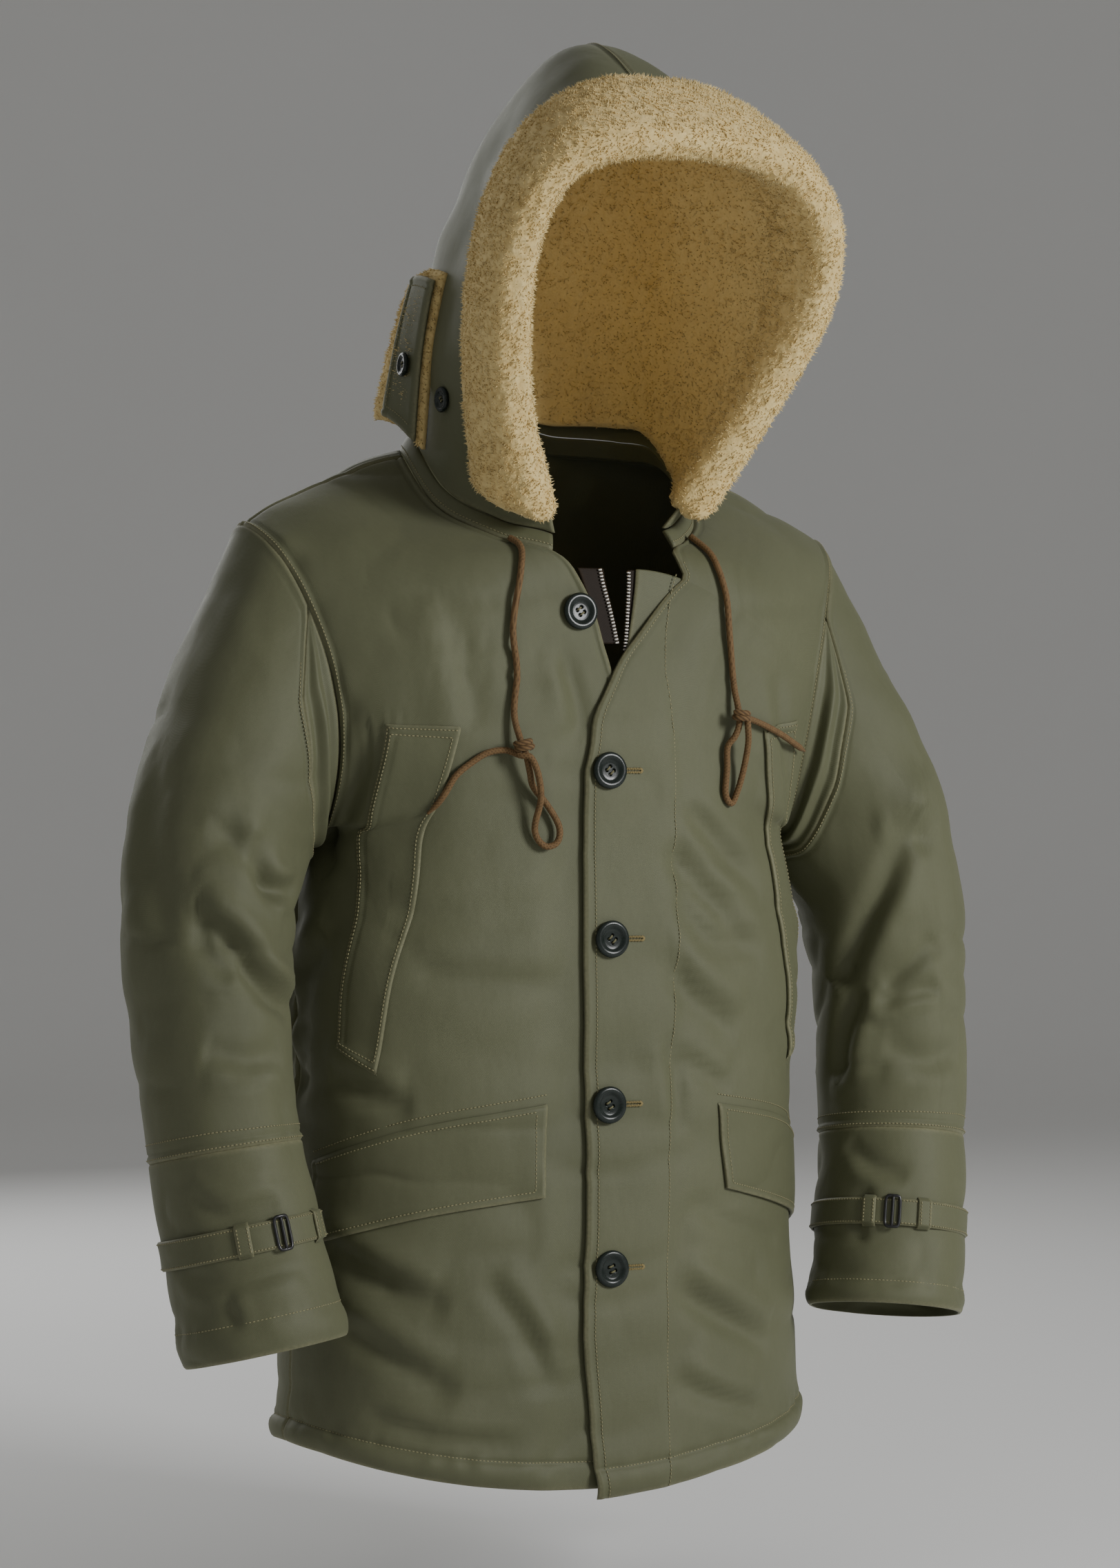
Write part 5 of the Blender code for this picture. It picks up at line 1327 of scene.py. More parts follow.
# %% [markdown]
# ## Pockets and flaps
# The tall slanted chest pockets are cut into the panel: three sides are sewn flat with two rows of
# stitching and the side towards the middle is a free, thick edge that the hand slips under. The lower
# pockets have a flap, sewn along its top and lying free below.

# %% Outlines of the pockets and flaps
# each outline: the edge nearest the middle and the far edge, both as places across and along the body
POCKET = {
    -1: (((0.460, 0.677), (0.475, 0.610), (0.480, 0.550), (0.482, 0.497), (0.545, 0.440), (0.600, 0.378)),
         ((0.790, 0.714), (0.783, 0.648), (0.725, 0.570), (0.690, 0.496), (0.735, 0.436), (0.750, 0.398))),
    1: (((0.560, 0.688), (0.555, 0.615), (0.535, 0.550), (0.520, 0.497), (0.560, 0.440), (0.610, 0.378)),
        ((0.830, 0.724), (0.820, 0.655), (0.775, 0.570), (0.735, 0.496), (0.765, 0.436), (0.780, 0.398))),
}
FLAP = {
    -1: (((0.140, 0.354), (0.511, 0.334), (0.880, 0.304)), ((0.152, 0.275), (0.480, 0.257), (0.880, 0.222))),
    1: (((0.256, 0.349), (0.560, 0.332), (0.880, 0.304)), ((0.290, 0.274), (0.560, 0.250), (0.880, 0.222))),
}


def outline_grid(side, outline, count_a, count_b, size_a, size_b):
    """Places between two edges: both edges are curves, and each row runs straight from one to the other."""
    near, far = (np.array(edge, float) for edge in outline)
    knots = np.linspace(0, 1, len(near))
    a = spread(size_a, count_a)
    b = spread(size_b, count_b)[None, :, None]
    rows = smooth(knots, near, a)[:, None] * (1 - b) + smooth(knots, far, a)[:, None] * b
    return front_cloth(side, rows[..., 0], rows[..., 1])


def chest_pocket(side, tag):
    """Thickness 2.4 mm at the free edge, pressed down to 0.7 mm at the three sewn edges."""
    p, n = outline_grid(side, POCKET[side], 70, 24, 0.27, 0.10)
    down, across = walked(p, 0), walked(p, 1)
    sewn = np.minimum(np.minimum(down, down[-1:] - down), across[:, -1:] - across)
    lift = 0.0007 + 0.0017 * ease(sewn / 0.004) + 0.0014 * np.exp(-(across / 0.007)**2) * ease(sewn / 0.01)
    lift = lift - 0.0005 * np.exp(-((sewn - 0.0078) / 0.0012)**2)
    lift = lift - 0.0009 * np.exp(-(across / 0.0009)**2)
    wear = np.maximum(np.exp(-(across / 0.0022)**2), 0.5 * np.exp(-(sewn / 0.0015)**2))
    flat = np.stack([across, down], -1)
    panel("cloth_chest_pocket_" + tag, [(p + n * 0.0026, n, lift - 0.0026, wear, flat)], SATEEN,
          ("chest_pocket_" + tag,), depth=0.0020)
    skin = p + n * lift[..., None]
    for k in (3, 6):
        sewn_sides = (np.s_[k, k:-k], np.s_[k:-k, -1 - k], np.s_[-1 - k, k:-k])
        stitch_lines("stitching_pockets", skin, n, sewn_sides)
    stitch_lines("stitching_pockets", skin, n, (np.s_[6:-6, 6],))


def hip_flap(side, tag):
    """A flap: flat along its sewn top, rolled at its free edges and standing off a little below."""
    p, n = outline_grid(side, FLAP[side], 52, 22, 0.17, 0.075)
    down, across = walked(p, 1), walked(p, 0)
    free = np.minimum(np.minimum(across, across[-1:] - across), down[:, -1:] - down)
    away = 0.0030 + 0.0012 * ease(down / 0.06)
    lift = away - 0.0018 * (1 - ease(down / 0.003)) - 0.0011 * np.exp(-(free / 0.0010)**2)
    lift = lift - 0.0006 * np.exp(-((free - 0.0062) / 0.0012)**2)
    wear = np.exp(-(free / 0.0020)**2)
    flat = np.stack([across, down], -1)
    panel("cloth_flap_" + tag, [(p + n * away[..., None], n, lift - away, wear, flat)], SATEEN,
          ("flap_" + tag,), depth=away - 0.0006)
    skin = p + n * lift[..., None]
    stitch_lines("stitching_pockets", skin, n, (np.s_[5:-5, 4], np.s_[5:-5, -6], np.s_[5, 5:-5]))
    above = np.array(FLAP[side][0]) + (0.0, 0.0075)
    line = smooth(np.linspace(0, 1, 3), above, np.linspace(0, 1, 120))
    at, up = front_cloth(side, line[:, 0], line[:, 1])
    stitch_row("stitching_pockets", at, up)


for side, tag in ((1, "left"), (-1, "right")):
    chest_pocket(side, tag)
    hip_flap(side, tag)

# %% [markdown]
# ## Throat: fly, zip tapes and teeth
# In the V at the throat the inner side of the coat shows: a fly of the same cloth on the wearer's left,
# and a brown tape with silver teeth on each side. Teeth are small rounded blocks, 2.6 mm apart, along the
# tape's edge.


# %% Lay the strips and set the teeth
def strip_places(t, near, far, columns):
    """Places across a strip whose two edges are distances from the centre line at each row."""
    row = smooth(ROWS[:, 0], ROWS[:, 1:], t)
    ends = [(np.array(x) - np.maximum(row[:, 0], 0)) / (3 * row[:, 3]) for x in (near, far)]
    s = ends[0][:, None] + (ends[1] - ends[0])[:, None] * columns
    return s, np.broadcast_to(t[:, None], s.shape)


def inside_strip(name, node_name, side, t, near, far, depth, sink, finish):
    """A strip under a front's edge, this far below the cloth."""
    fine = np.linspace(t[0], t[-1], 50)
    near, far = (line_value(t, edge, fine) for edge in (near, far))
    s, rows = strip_places(fine, near, far, np.linspace(0, 1, 18))
    p = mirrored(torso(s, rows), side)
    n = mirrored(torso_normal(s, rows), side)
    p = p - n * sink
    relief, wear, flat = edge_relief(p, {"b0": "plain", "b1": "plain"})
    panel(name, [(p, n, relief * 0.4, wear, flat)], finish, (node_name,), depth=depth)
    return p, n


def zip_teeth(name, p, n, column, inward):
    """Blocks 3.4 x 1.5 x 1.6 mm with rounded ends, standing across the tape's edge."""
    path, facing = p[:, column], n[:, column]
    gone = walked(path[:, None], 0)[:, 0]
    at = np.arange(0.001, gone[-1], 0.0026)
    spot = places_along(at, gone, path)
    up = unit(places_along(at, gone, facing))
    along = unit(np.gradient(spot, axis=0))
    across = unit(np.cross(along, up)) * inward
    a = np.linspace(-1, 1, 7)[:, None]
    b = np.linspace(0, 2 * np.pi, 9)[:-1]
    bulge = (1 - 0.5 * a**6) * (1 + 0.25 * (a > 0.3))
    block = np.stack([0.0017 * a + 0 * b, 0.0009 * bulge * np.sign(np.cos(b)) * np.abs(np.cos(b))**0.5,
                      0.0009 * bulge * np.sign(np.sin(b)) * np.abs(np.sin(b))**0.5], -1)
    parts = []
    for k in range(len(spot)):
        axes = np.stack([across[k], along[k], up[k]])
        parts.append(closed_tube(spot[k] + up[k] * 0.0010 + block @ axes))
    points, quads, fans = merge(parts)
    dress(lay_mesh(name, points, [quads, fans]), NICKEL)
    print(name, "teeth", len(spot))


rows = np.array([0.706, 0.722, 0.742, 0.760, 0.776])
inside_strip("cloth_fly", "fly_left", 1, rows, (0.0165, 0.020, 0.024, 0.027, 0.029),
             (0.026, 0.042, 0.060, 0.076, 0.086), 0.0018, 0.0035, SATEEN)
rows = np.array([0.712, 0.728, 0.744, 0.760, 0.776])
p, n = inside_strip("tape_left", "zip_tape_left", 1, rows, (0.0165, 0.0185, 0.0200, 0.0215, 0.0225),
                    (0.0255, 0.030, 0.033, 0.035, 0.036), 0.0016, 0.0058, TAPE)
zip_teeth("teeth_left", p, n, 0, 1)
rows = np.array([0.7165, 0.730, 0.745, 0.760, 0.776])
p, n = inside_strip("tape_right", "zip_tape_right", -1, rows, (-0.0115, -0.0085, -0.0050, -0.0015, 0.0000),
                    (0.0050, 0.0080, 0.0130, 0.0180, 0.0220), 0.0016, 0.0035, TAPE)
zip_teeth("teeth_right", p, n, 3, 1)

# %% [markdown]
# ## Cuff straps and buckles
# A strap runs round each cuff, through a sliding buckle and a sewn keeper, and ends in a small loop. The
# strap is a stitched double layer; the buckle is a bent wire frame with a bar, enamelled black.

# %% Straps, keepers, loops and buckles
STRAP = {1: (0.832, 0.872), -1: (0.808, 0.848)}
# turns of the keeper, the end loop and the buckle
STRAP_PLACES = {1: (97.0, 138.0, 121.0), -1: (69.0, 134.0, 97.0)}
STRAP_PITCH = 0.0026
WIRE_TURNS = 72
WIRE_SIDES = 12


def strap_form(side, v, turn):
    """The sleeve's cloth without its small folds: a strap pulls straight."""
    return mirrored(sleeve(v, turn), side), mirrored(sleeve_normal(v, turn), side)


def cuff_strap(side, tag):
    """The strap and, over it, the keeper and the end loop."""
    high, low = STRAP[side]
    f = np.linspace(0, 1, 13)[:, None]
    turns = np.linspace(180, -180, 145)
    p, n = strap_form(side, high + (low - high) * f + 0 * turns, turns + 0 * f)
    p[:, -1], n[:, -1] = p[:, 0], n[:, 0]
    edge = np.minimum(walked(p, 0), walked(p, 0)[-1:] - walked(p, 0))
    relief = 0.0027 - 0.0008 * np.exp(-(edge / 0.0010)**2) + 0.0003 * np.exp(-((edge - 0.0022) / 0.001)**2)
    relief = relief + 0.0004 * drift(p, 0.012, 31)
    wear = np.exp(-(edge / 0.0016)**2)
    panel("cloth_strap_" + tag, [(p, n, relief, wear, flat_map(p))], SATEEN,
          ("cuff_strap_" + tag,), depth=-0.0005)
    skin = p + n * relief[..., None]
    stitch_lines("stitching_straps", skin, n, (1, -2), STRAP_PITCH)
    for word, turn, half in (("keeper", STRAP_PLACES[side][0], 5.2), ("loop", STRAP_PLACES[side][1], 4.8)):
        f = np.linspace(0, 1, 25)[:, None]
        turns = turn + np.linspace(-half, half, 13)
        p, n = strap_form(side, high - 0.004 + (low - high + 0.008) * f + 0 * turns, turns + 0 * f)
        ends = np.minimum(f, 1 - f) + 0 * turns
        edge = np.minimum(walked(p, 1), walked(p, 1)[:, -1:] - walked(p, 1))
        lift = 0.0012 + 0.0040 * ease(ends / 0.13) - 0.0007 * np.exp(-(edge / 0.0010)**2)
        below = -0.0006 - 0.0024 * ease(ends / 0.13)
        panel("cloth_" + word + "_" + tag, [(p, n, lift, np.exp(-(edge / 0.0015)**2), flat_map(p))], SATEEN,
              ("cuff_" + word + "_" + tag,), depth=below)
        skin = p + n * lift[..., None]
        stitch_lines("stitching_straps", skin, n, (np.s_[3:-3, 2], np.s_[3:-3, -3]), STRAP_PITCH)


def cuff_buckle(side, tag):
    """A frame 14 x 27 mm of 2.4 mm wire with rounded corners, and a bar down its middle."""
    high, low = STRAP[side]
    middle, turn = (high + low) / 2, STRAP_PLACES[side][2]
    centre = sleeve(np.array(middle), np.array(turn))
    n = sleeve_normal(np.array(middle), np.array(turn))
    down = unit(sleeve(np.array(middle + 0.01), np.array(turn)) - centre)
    across = unit(np.cross(down, n))
    centre = centre + n * 0.0046
    a = np.linspace(0, 2 * np.pi, WIRE_TURNS + 1)[:-1]
    u = 0.0057 * np.sign(np.cos(a)) * np.abs(np.cos(a))**0.35
    w = 0.0122 * np.sign(np.sin(a)) * np.abs(np.sin(a))**0.35
    path = centre + across * u[:, None] + down * w[:, None] - n * (30 * (u**2))[:, None]
    b = np.linspace(0, 2 * np.pi, WIRE_SIDES + 1)[:-1]
    out = unit(across * np.cos(a)[:, None] + down * np.sin(a)[:, None])
    rings = path[:, None] + 0.0013 * (np.cos(b)[:, None] * out[:, None] + 0.8 * np.sin(b)[:, None] * n)
    i, j = np.meshgrid(np.arange(WIRE_TURNS), np.arange(WIRE_SIDES), indexing="ij")
    this, following = i * WIRE_SIDES, (i + 1) % WIRE_TURNS * WIRE_SIDES
    k = (j + 1) % WIRE_SIDES
    quads = np.stack([this + j, this + k, following + k, following + j], -1)
    points = mirrored(rings.reshape(-1, 3), side)
    none = np.zeros((0, 3), int)
    frame_part = (points, *outward(points, quads.reshape(-1, 4), none))
    bar = centre + down * np.linspace(-0.0122, 0.0122, 12)[:, None] - n * 0.0002
    rings = round_path(bar, np.broadcast_to(n, bar.shape), 0.0013, 12)
    points, quads, fans = merge([frame_part, closed_tube(mirrored(rings, side))])
    dress(lay_mesh("buckle_" + tag, points, [quads, fans]), ENAMEL, ("cuff_buckle_" + tag,))
    print("buckle", tag, "at", np.round(mirrored(centre, side), 3))


for side, tag in ((1, "left"), (-1, "right")):
    cuff_strap(side, tag)
    cuff_buckle(side, tag)

# %% [markdown]
# ## Buttons and buttonholes
# A button is a turned shape: a dished middle with four holes, a step, a broad rounded rim and a flat
# back. It is one profile carried round an axis, and the four holes are pressed into the same surface. Two
# short bars of thread cross each one.

# %% Turn the buttons
BUTTON_PROFILE = np.array([
    (0.0, 0.56), (0.20, 0.56), (0.40, 0.58), (0.54, 0.63), (0.60, 0.76), (0.68, 0.93), (0.78, 1.0),
    (0.88, 0.97), (0.96, 0.82), (1.0, 0.55), (0.98, 0.22), (0.90, 0.04), (0.60, 0.0), (0.0, 0.0),
])
HOLES = np.radians((45, 135, 225, 315))
HOLE_OUT = 0.215


def button(name, at, facing, radius, height, spin, node_name):
    """The profile through its own points, turned round the axis; holes are 0.44 of the height deep."""
    gone = np.concatenate([[0], np.cumsum(np.linalg.norm(np.diff(BUTTON_PROFILE, axis=0), axis=1))])
    fine = np.concatenate([np.linspace(0, 0.50, 26), np.linspace(0.53, gone[-1], 34)])
    profile = np.stack([np.interp(fine, gone, BUTTON_PROFILE[:, i]) for i in range(2)], -1)
    profile[26:-2] = (profile[25:-3] + 2 * profile[26:-2] + profile[27:-1]) / 4
    n = unit(np.asarray(facing, float))
    up = unit(np.array((0, 0, 1.0)) - n * n[2])
    across = np.cross(up, n)
    angle = np.linspace(0, 2 * np.pi, 60, endpoint=False)
    x = radius * profile[:, :1] * np.cos(angle)
    y = radius * profile[:, :1] * np.sin(angle)
    z = height * profile[:, 1:] + 0 * x
    on_top = (np.arange(len(profile)) < 26)[:, None]
    for hole in HOLES + np.radians(spin):
        d = np.hypot(x - HOLE_OUT * radius * np.cos(hole), y - HOLE_OUT * radius * np.sin(hole))
        z = z - np.where(on_top, 0.44 * height * (1 - ease((d - 0.065 * radius) / (0.035 * radius))), 0)
    rings = at + x[..., None] * across + y[..., None] * up + z[..., None] * n
    points, quads, fans = closed_tube(rings[1:-1])
    piece = lay_mesh(name, points, [quads, fans])
    dress(piece, HORN, (node_name,))
    for pair in ((0, 1), (3, 2)):
        turns = [HOLES[k] + np.radians(spin) for k in pair]
        ends = [HOLE_OUT * radius * np.array((np.cos(turn), np.sin(turn))) for turn in turns]
        for shift in (-0.0004, 0.0, 0.0004):
            f = np.linspace(0, 1, 9)
            line = ends[0] * (1 - f[:, None]) + ends[1] * f[:, None]
            side_way = unit((ends[1] - ends[0])[::-1] * (-1, 1))
            line = line + side_way * shift
            rise = height * 0.56 + 0.0006 - 0.0016 * (2 * f - 1)**6
            path = at + line[:, :1] * across + line[:, 1:] * up + rise[:, None] * n
            BUTTON_THREADS.append(closed_tube(round_path(path, np.broadcast_to(n, path.shape), 0.00028, 6)))


BUTTON_RADIUS = 0.0143
BUTTON_THREADS = []
# columns: name, side, place across and along the front, turn of the holes in degrees
FRONT_BUTTONS = (
    ("button_top", -1, 0.051, 0.739, 34),
    ("button_chest", 1, -0.011, 0.611, 45),
    ("button_waist", 1, -0.009, 0.474, 46),
    ("button_hip", 1, -0.015, 0.352, 30),
    ("button_hem", 1, -0.010, 0.207, 21),
)
for word, side, s, t, spin in FRONT_BUTTONS:
    at, n = front_cloth(side, np.array(s), np.array(t))
    button(word.replace("button", "horn"), at + n * 0.0008, n, BUTTON_RADIUS, 0.0045, spin, word)
q, p = np.array(0.385), np.array(0.125)
n = mirrored(hood_normal(q, p, -1), -1)
at, _ = hood_cloth(-1, q, p)
button("horn_hood", at + n * 0.0006, n, 0.0100, 0.0038, 40, "button_hood")
print("threads on buttons:", len(BUTTON_THREADS))


# %% Work the buttonholes
def buttonhole(side, s, t, near, far):
    """Dense short stitches across a slit, 0.9 mm apart, with a fan of them round its end."""
    at, n = front_cloth(side, np.array(s), np.array(t))
    along = unit(front_cloth(side, np.array(s + 0.02), np.array(t))[0] - at)
    across = np.cross(n, along)
    x = np.arange(near, far, 0.0009)
    place = at + n * 0.0006 + along * x[:, None]
    for hand in (-1, 1):
        wobble = 0.0002 * np.sin(np.arange(len(x)) * 2.1 + hand)[:, None]
        beads("buttonholes", place + across * (hand * 0.0013 + wobble), np.broadcast_to(across, place.shape),
              np.broadcast_to(n, place.shape), 0.0011, 0.00045)
    fan = np.linspace(-1.4, 1.4, 7)
    way = along * np.cos(fan)[:, None] + across * np.sin(fan)[:, None]
    place = at + n * 0.0006 + along * far + way * 0.0013
    beads("buttonholes", place, way, np.broadcast_to(n, way.shape), 0.0012, 0.00045)


for word, side, s, t, spin in FRONT_BUTTONS[1:]:
    buttonhole(side, s, t, 0.011, 0.0275)
sew("buttonholes", GOLD_THREAD)

# %% [markdown]
# ## Sheepskin
# The hood is lined with sheared sheepskin that is turned back round the face as a thick roll. The pile
# has two levels: the surface itself is raised into rounded curls a few millimetres across, and thousands
# of short wisps of wool, each a spike with four faces, stand out of it and break up the outline.


# %% Curls and wisps
SPIKE_FACES = ((0, 1, 3), (1, 2, 3), (2, 0, 3), (2, 1, 0))
WISP_LONG = 0.0036
WISP_THICK = 0.00072


def curls(points):
    """Height of the pile from 0 to 1: domes round scattered seeds of two sizes, moved by soft noise."""
    bent = points + 0.003 * np.stack([drift(points, 0.010, k) for k in (41, 42, 43)], -1)
    big = 1 - np.clip(lumps(bent, 0.0085, 51), 0, 1)**2
    small = 1 - np.clip(lumps(bent, 0.0042, 61), 0, 1)**2
    return np.clip(0.45 * big + 0.55 * small, 0, 1)


def wool_wisps(name, points, facing, count, seed, length=WISP_LONG):
    """Spikes with four faces, rooted all over a grid and leaning the way that soft noise points."""
    pick = np.random.default_rng(seed)
    a, b, c = points[:-1, :-1], points[1:, :-1], points[:-1, 1:]
    area = np.linalg.norm(np.cross(b - a, c - a), axis=-1).ravel()
    cell = pick.choice(len(area), count, p=area / area.sum())
    i, j = np.unravel_index(cell, a.shape[:2])
    u, w = pick.random((count, 1)), pick.random((count, 1))

    def blend(field):
        return (field[i, j] * (1 - u) * (1 - w) + field[i + 1, j] * u * (1 - w)
                + field[i, j + 1] * (1 - u) * w + field[i + 1, j + 1] * u * w)

    root, up = blend(points), unit(blend(facing))
    lean = np.stack([drift(root, 0.009, seed + k) for k in (1, 2, 3)], -1) * 1.2
    lean = lean + pick.normal(0, 0.5, (count, 3))
    way = unit(up + 0.8 * lean)
    long = length * (0.5 + 0.8 * pick.random((count, 1)))
    side = unit(np.cross(way, pick.normal(0, 1, (count, 3))))
    other = np.cross(way, side)
    angle = np.array((0, 2.1, 4.2))
    ring = np.cos(angle)[None, :, None] * side[:, None] + np.sin(angle)[None, :, None] * other[:, None]
    base = (root - up * 0.0006)[:, None]
    spikes = np.concatenate([base + ring * WISP_THICK, base + (way * long)[:, None]], 1)
    start = np.arange(count)[:, None] * 4
    faces = np.concatenate([start + np.array(three) for three in SPIKE_FACES])
    # Roots 0.45 and tips 1.0: the roots take the darker honey, painted shade at the foot of each wisp.
    mark = np.tile(np.array((0.45, 0.45, 0.45, 1.0)), count)
    piece = lay_mesh(name, spikes.reshape(-1, 3), [faces], marks={"pile": mark})
    dress(piece, FLEECE)
    print(name, "wisps", count)


# %% The roll round the face
TRIM_REACH = np.array([(0, 0.25), (0.2, 0.215), (0.4, 0.20), (0.6, 0.185), (0.8, 0.160), (1.0, 0.142)])


def trim_roll():
    """Rings round the hood's front edge: a squared-off oval as wide as the turned-back fleece."""
    w = np.linspace(-1, 1, 380)
    angle = np.linspace(0, 2 * np.pi, 116, endpoint=False)
    across = np.sign(np.cos(angle)) * np.abs(np.cos(angle))**0.75
    height = 0.5 + 0.5 * np.sign(np.sin(angle)) * np.abs(np.sin(angle))**0.75
    rings = []
    for side in (-1, 1):
        part = w[w < 0] if side < 0 else w[w >= 0]
        place = (1 - 0.98 * np.abs(part))[:, None]
        reach = np.interp(place, TRIM_REACH[:, 0], TRIM_REACH[:, 1])
        q = (reach - 0.036) / 2 + (reach + 0.036) / 2 * across
        q, place = np.broadcast_arrays(q, place)
        thick = 0.019 + 0.005 * np.sin(np.pi * place)
        n = hood_normal(q, place, side)
        ring = hood_ahead(q, place, side) + n * (-0.0145 + (0.0163 + thick) * height)[..., None]
        rings.append(mirrored(ring, side))
    rings = np.concatenate(rings)
    middle = rings.mean(1, keepdims=True)
    end = np.clip((np.abs(w) - 0.965) / 0.035, 0, 1)
    return middle + (rings - middle) * np.sqrt(np.clip(1 - end**2, 0.0004, 1))[:, None, None]


rings = trim_roll()
middle = rings.mean(1, keepdims=True)
closed = np.concatenate([rings, rings[:, :1]], 1)
facing = unit(np.cross(np.gradient(closed, axis=0), np.gradient(closed, axis=1)))
facing = facing * np.where((facing * (closed - middle)).sum() < 0, -1, 1)
pile = curls(closed)
swollen = closed + facing * (0.0030 * (pile - 0.9))[..., None]
points, quads, fans = closed_tube(swollen[:, :-1])
# The curls' height is the colour mark as well: darker in the hollows between curls, painted shade.
mark = {"pile": np.append(pile[:, :-1].ravel() * 0.8, (0.4, 0.4))}
trim = lay_mesh("fleece_trim", points, [quads, fans], marks=mark)
dress(trim, FLEECE, ("hood_trim",))
for word, part, seed in (("right", slice(3, 191), 7), ("left", slice(189, -3), 9)):
    wool_wisps("fleece_trim_wisps_" + word, swollen[part], facing[part], 18500, seed)


# %% The lining inside the hood
def lining_grid(side):
    """The fleece inside half the hood: the hood's form, 4.5 mm in, and the height of its pile."""
    q = np.linspace(0.02, 0.93, 76)[:, None]
    p = np.linspace(0.03, 1.0, 66)[None, :]
    at = mirrored(hood_ahead(q + 0 * p, p + 0 * q, side), side)
    n = mirrored(hood_normal(q + 0 * p, p + 0 * q, side), side)
    n[:, -1, 0] = 0
    n = unit(n)
    at = at - n * 0.0045
    at[:, -1, 0] = 0
    pile = curls(at - n * 0.009)
    round_front = 0.4 + 0.6 * ease((q - 0.02) / 0.10)
    return at, n, (0.0085 + 0.0030 * (pile - 0.3)) * round_front * (1 - 0.6 * ease((q - 0.78) / 0.15))


for k, (word, side, nodes) in enumerate((("left", 1, ("hood_lining",)), ("right", -1, ()))):
    at, n, inner = lining_grid(side)
    plain = np.zeros(inner.shape)
    # The face against the hood cloth is marked 0.3 and the face towards the head 0.75: painted shade on the
    # covered face.
    panel("fleece_lining_" + word, [(at, n, plain, plain + 0.3, flat_map(at))], FLEECE, nodes,
          depth=inner, mark="pile", piled=0.75)
    wool_wisps("fleece_lining_wisps_" + word, at - n * inner[..., None], -n, 10000, 17 + k)

# %% [markdown]
# ## Chin tab
# A short strap at the hood's right side would close under the chin. It is folded back on itself, so its
# fleece lies against the hood and bulges out behind, and its cloth side faces ahead with the button that
# closes it.


# %% Fold back the tab
def tab_form(a, b):
    """A patch of the hood's right half that stands off more and more towards its free end."""
    q, p = 0.47 + 0.17 * a, 0.02 + 0.28 * b
    at, n = hood(q, p, -1), hood_normal(q, p, -1)
    stand = 0.0008 + np.clip(a, 0, 1)**1.5 * (0.007 + 0.016 * (1 - b))
    return mirrored(at, -1), mirrored(n, -1), stand


def tab_pile(a, b):
    """Height of the tab's fleece over the form: full in the middle, round towards its four edges."""
    edge = np.minimum(np.minimum(a, 1 - a), np.minimum(b, 1 - b))
    return 0.0035 + 0.0075 * np.sqrt(np.clip(edge / 0.22, 0, 1))


a, b = np.meshgrid(np.linspace(0, 1, 42), np.linspace(0, 1, 60), indexing="ij")
at, n, stand = tab_form(a, b)
edge = np.minimum(np.minimum(a, 1 - a), np.minimum(b, 1 - b))
pile = curls(at + n * 0.03)
full = tab_pile(a, b) + 0.0030 * (pile - 0.5) * ease(edge / 0.05)
top = at + n * (stand + 0.0005 + full)[..., None]
flat = flat_map(at)
# The colour mark is the curls' height on top, darker in their hollows, and 0.3 underneath where the fleece
# lies against the hood: painted shade.
panel("fleece_tab", [(top, n, 0 * full, pile * 0.8, flat)], FLEECE, ("chin_tab_fur",),
      depth=full, mark="pile", piled=0.3)
wool_wisps("fleece_tab_wisps", top, n, 2400, 29, 0.0034)
a, b = np.meshgrid(0.66 * spread(0.045, 22), 0.04 + 0.90 * spread(0.085, 34), indexing="ij")
at, n, stand = tab_form(a, b)
away = stand + 0.0040 + tab_pile(np.clip(a + 0.12, 0, 0.5), b * 0 + 0.5) * 0.9
relief, wear, flat = edge_relief(at, {"a0": "plain", "a1": "stitched", "b0": "stitched", "b1": "stitched"})
panel("cloth_tab", [(at + n * away[..., None], n, relief * 0.7, wear, flat)], SATEEN,
      ("chin_tab",), depth=0.0024)
skin = at + n * (away + relief * 0.7)[..., None]
stitch_lines("stitching_hood", skin, n, (np.s_[5:-5, 5], np.s_[5:-5, -6], np.s_[-6, 5:-5]))
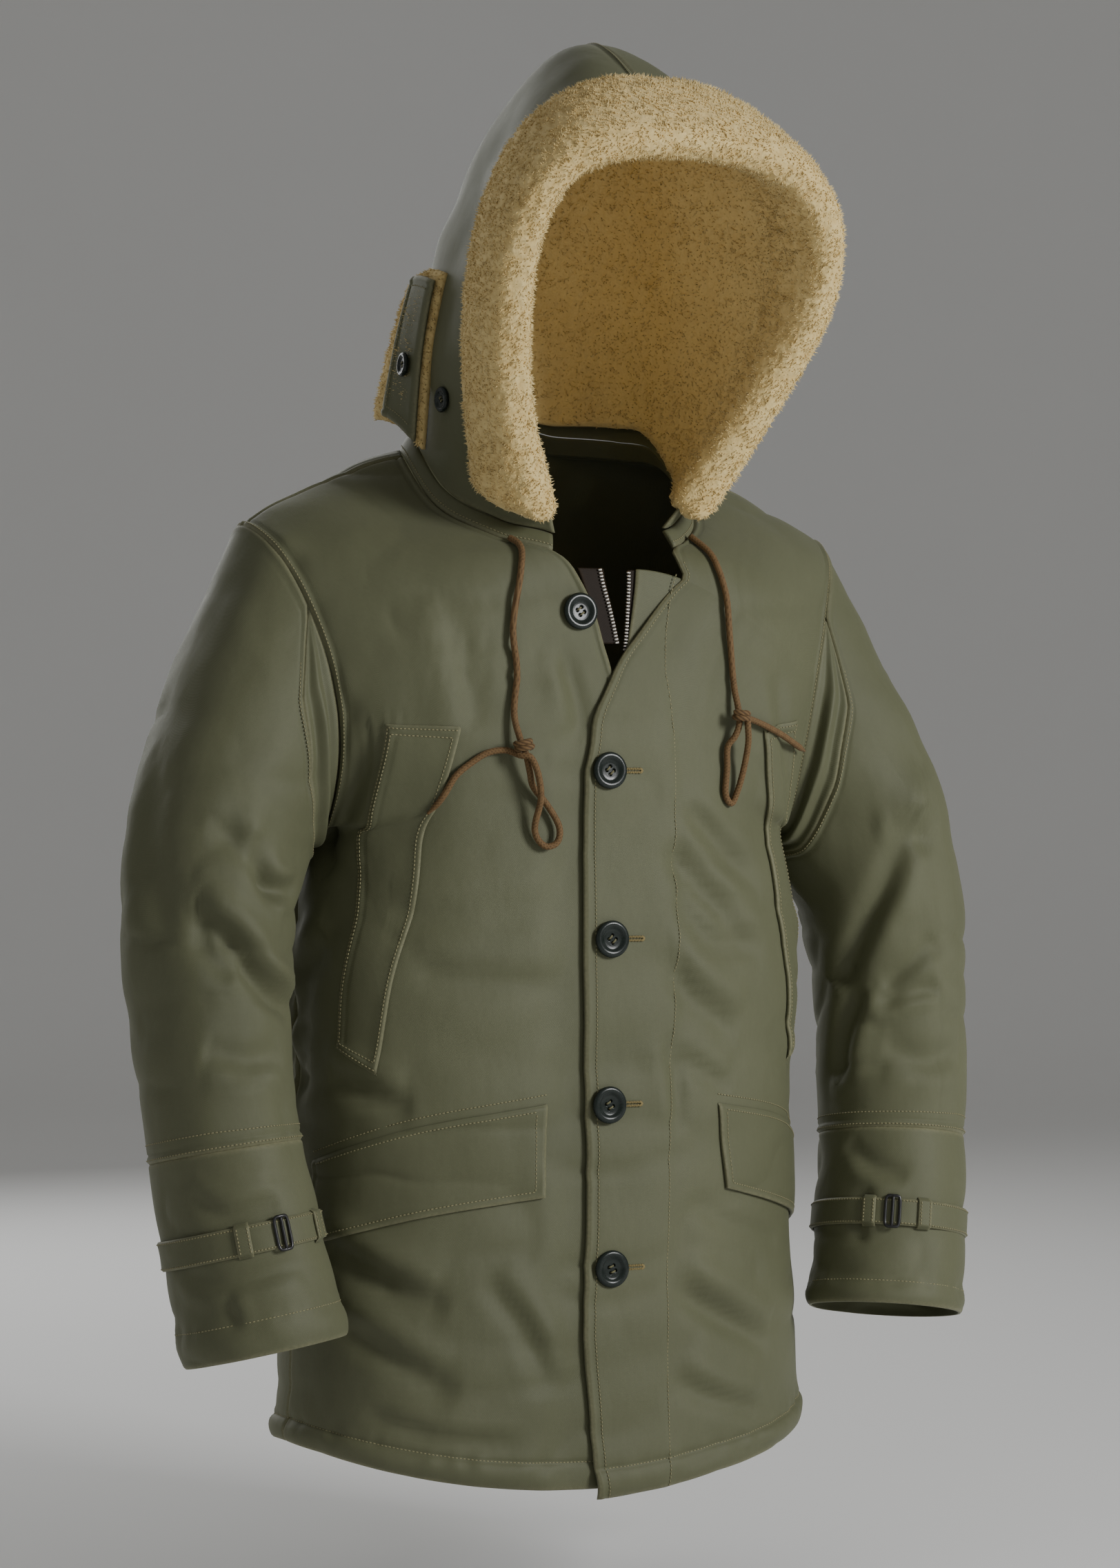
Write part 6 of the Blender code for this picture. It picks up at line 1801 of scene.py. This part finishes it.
button("horn_tab", skin[14, 20] + n[14, 20] * 0.0006, n[14, 20], 0.0095, 0.0038, 30, "button_tab")

# %% [markdown]
# ## Last pieces and the room
# All rows of stitches are sewn as a few pieces, the thread on the buttons is one more, and the room is a
# pale floor that curves up into a wall all round, so no horizon cuts behind the parka from any side.

# %% Sew all the rows
for group in list(STITCH_LINES):
    sew(group, THREAD)
points, quads, fans = merge(BUTTON_THREADS)
dress(lay_mesh("button_threads", points, [quads, fans]), THREAD)


# %% Lay the floor
FLOOR_DROP = 0.90
FLOOR_SIDES = 96


def pale_room():
    """A flat floor to 5 m, then a quarter circle up to a low wall, carried round the Z axis."""
    bend = np.linspace(0, np.pi / 2, 16)
    r = np.concatenate([[0.5, 1.5, 3.0, 5.0], 5.0 + 3.0 * np.sin(bend[1:]), [8.0]])
    z = np.concatenate([[0, 0, 0, 0], 3.0 - 3.0 * np.cos(bend[1:]), [5.0]]) - FLOOR_DROP
    turn = np.linspace(0, 2 * np.pi, FLOOR_SIDES, endpoint=False)
    points = np.stack([r[:, None] * np.cos(turn), r[:, None] * np.sin(turn), z[:, None] + 0 * turn], -1)
    i, j = np.meshgrid(np.arange(len(r) - 1), np.arange(FLOOR_SIDES), indexing="ij")
    this, following = i * FLOOR_SIDES, (i + 1) * FLOOR_SIDES
    k = (j + 1) % FLOOR_SIDES
    quads = np.stack([this + j, following + j, following + k, this + k], -1)
    return lay_mesh("floor", points.reshape(-1, 3), [np.arange(FLOOR_SIDES)[None], quads.reshape(-1, 4)])


floor = pale_room()
plaster, tree, shader = new_finish("pale_floor")
space = node(tree, "ShaderNodeTexCoord")
plaster_colour = tint(tree, noise(tree, space, 1.5, 3.0), (0.78, 0.78, 0.77), (0.81, 0.81, 0.80))
feed(tree, shader, {"Base Color": plaster_colour, "Roughness": 0.9})
floor.data.materials.append(plaster)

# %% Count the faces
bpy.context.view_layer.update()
faces = sum(len(o.data.polygons) for o in bpy.data.objects if o.type == "MESH")
print("faces in all:", faces)
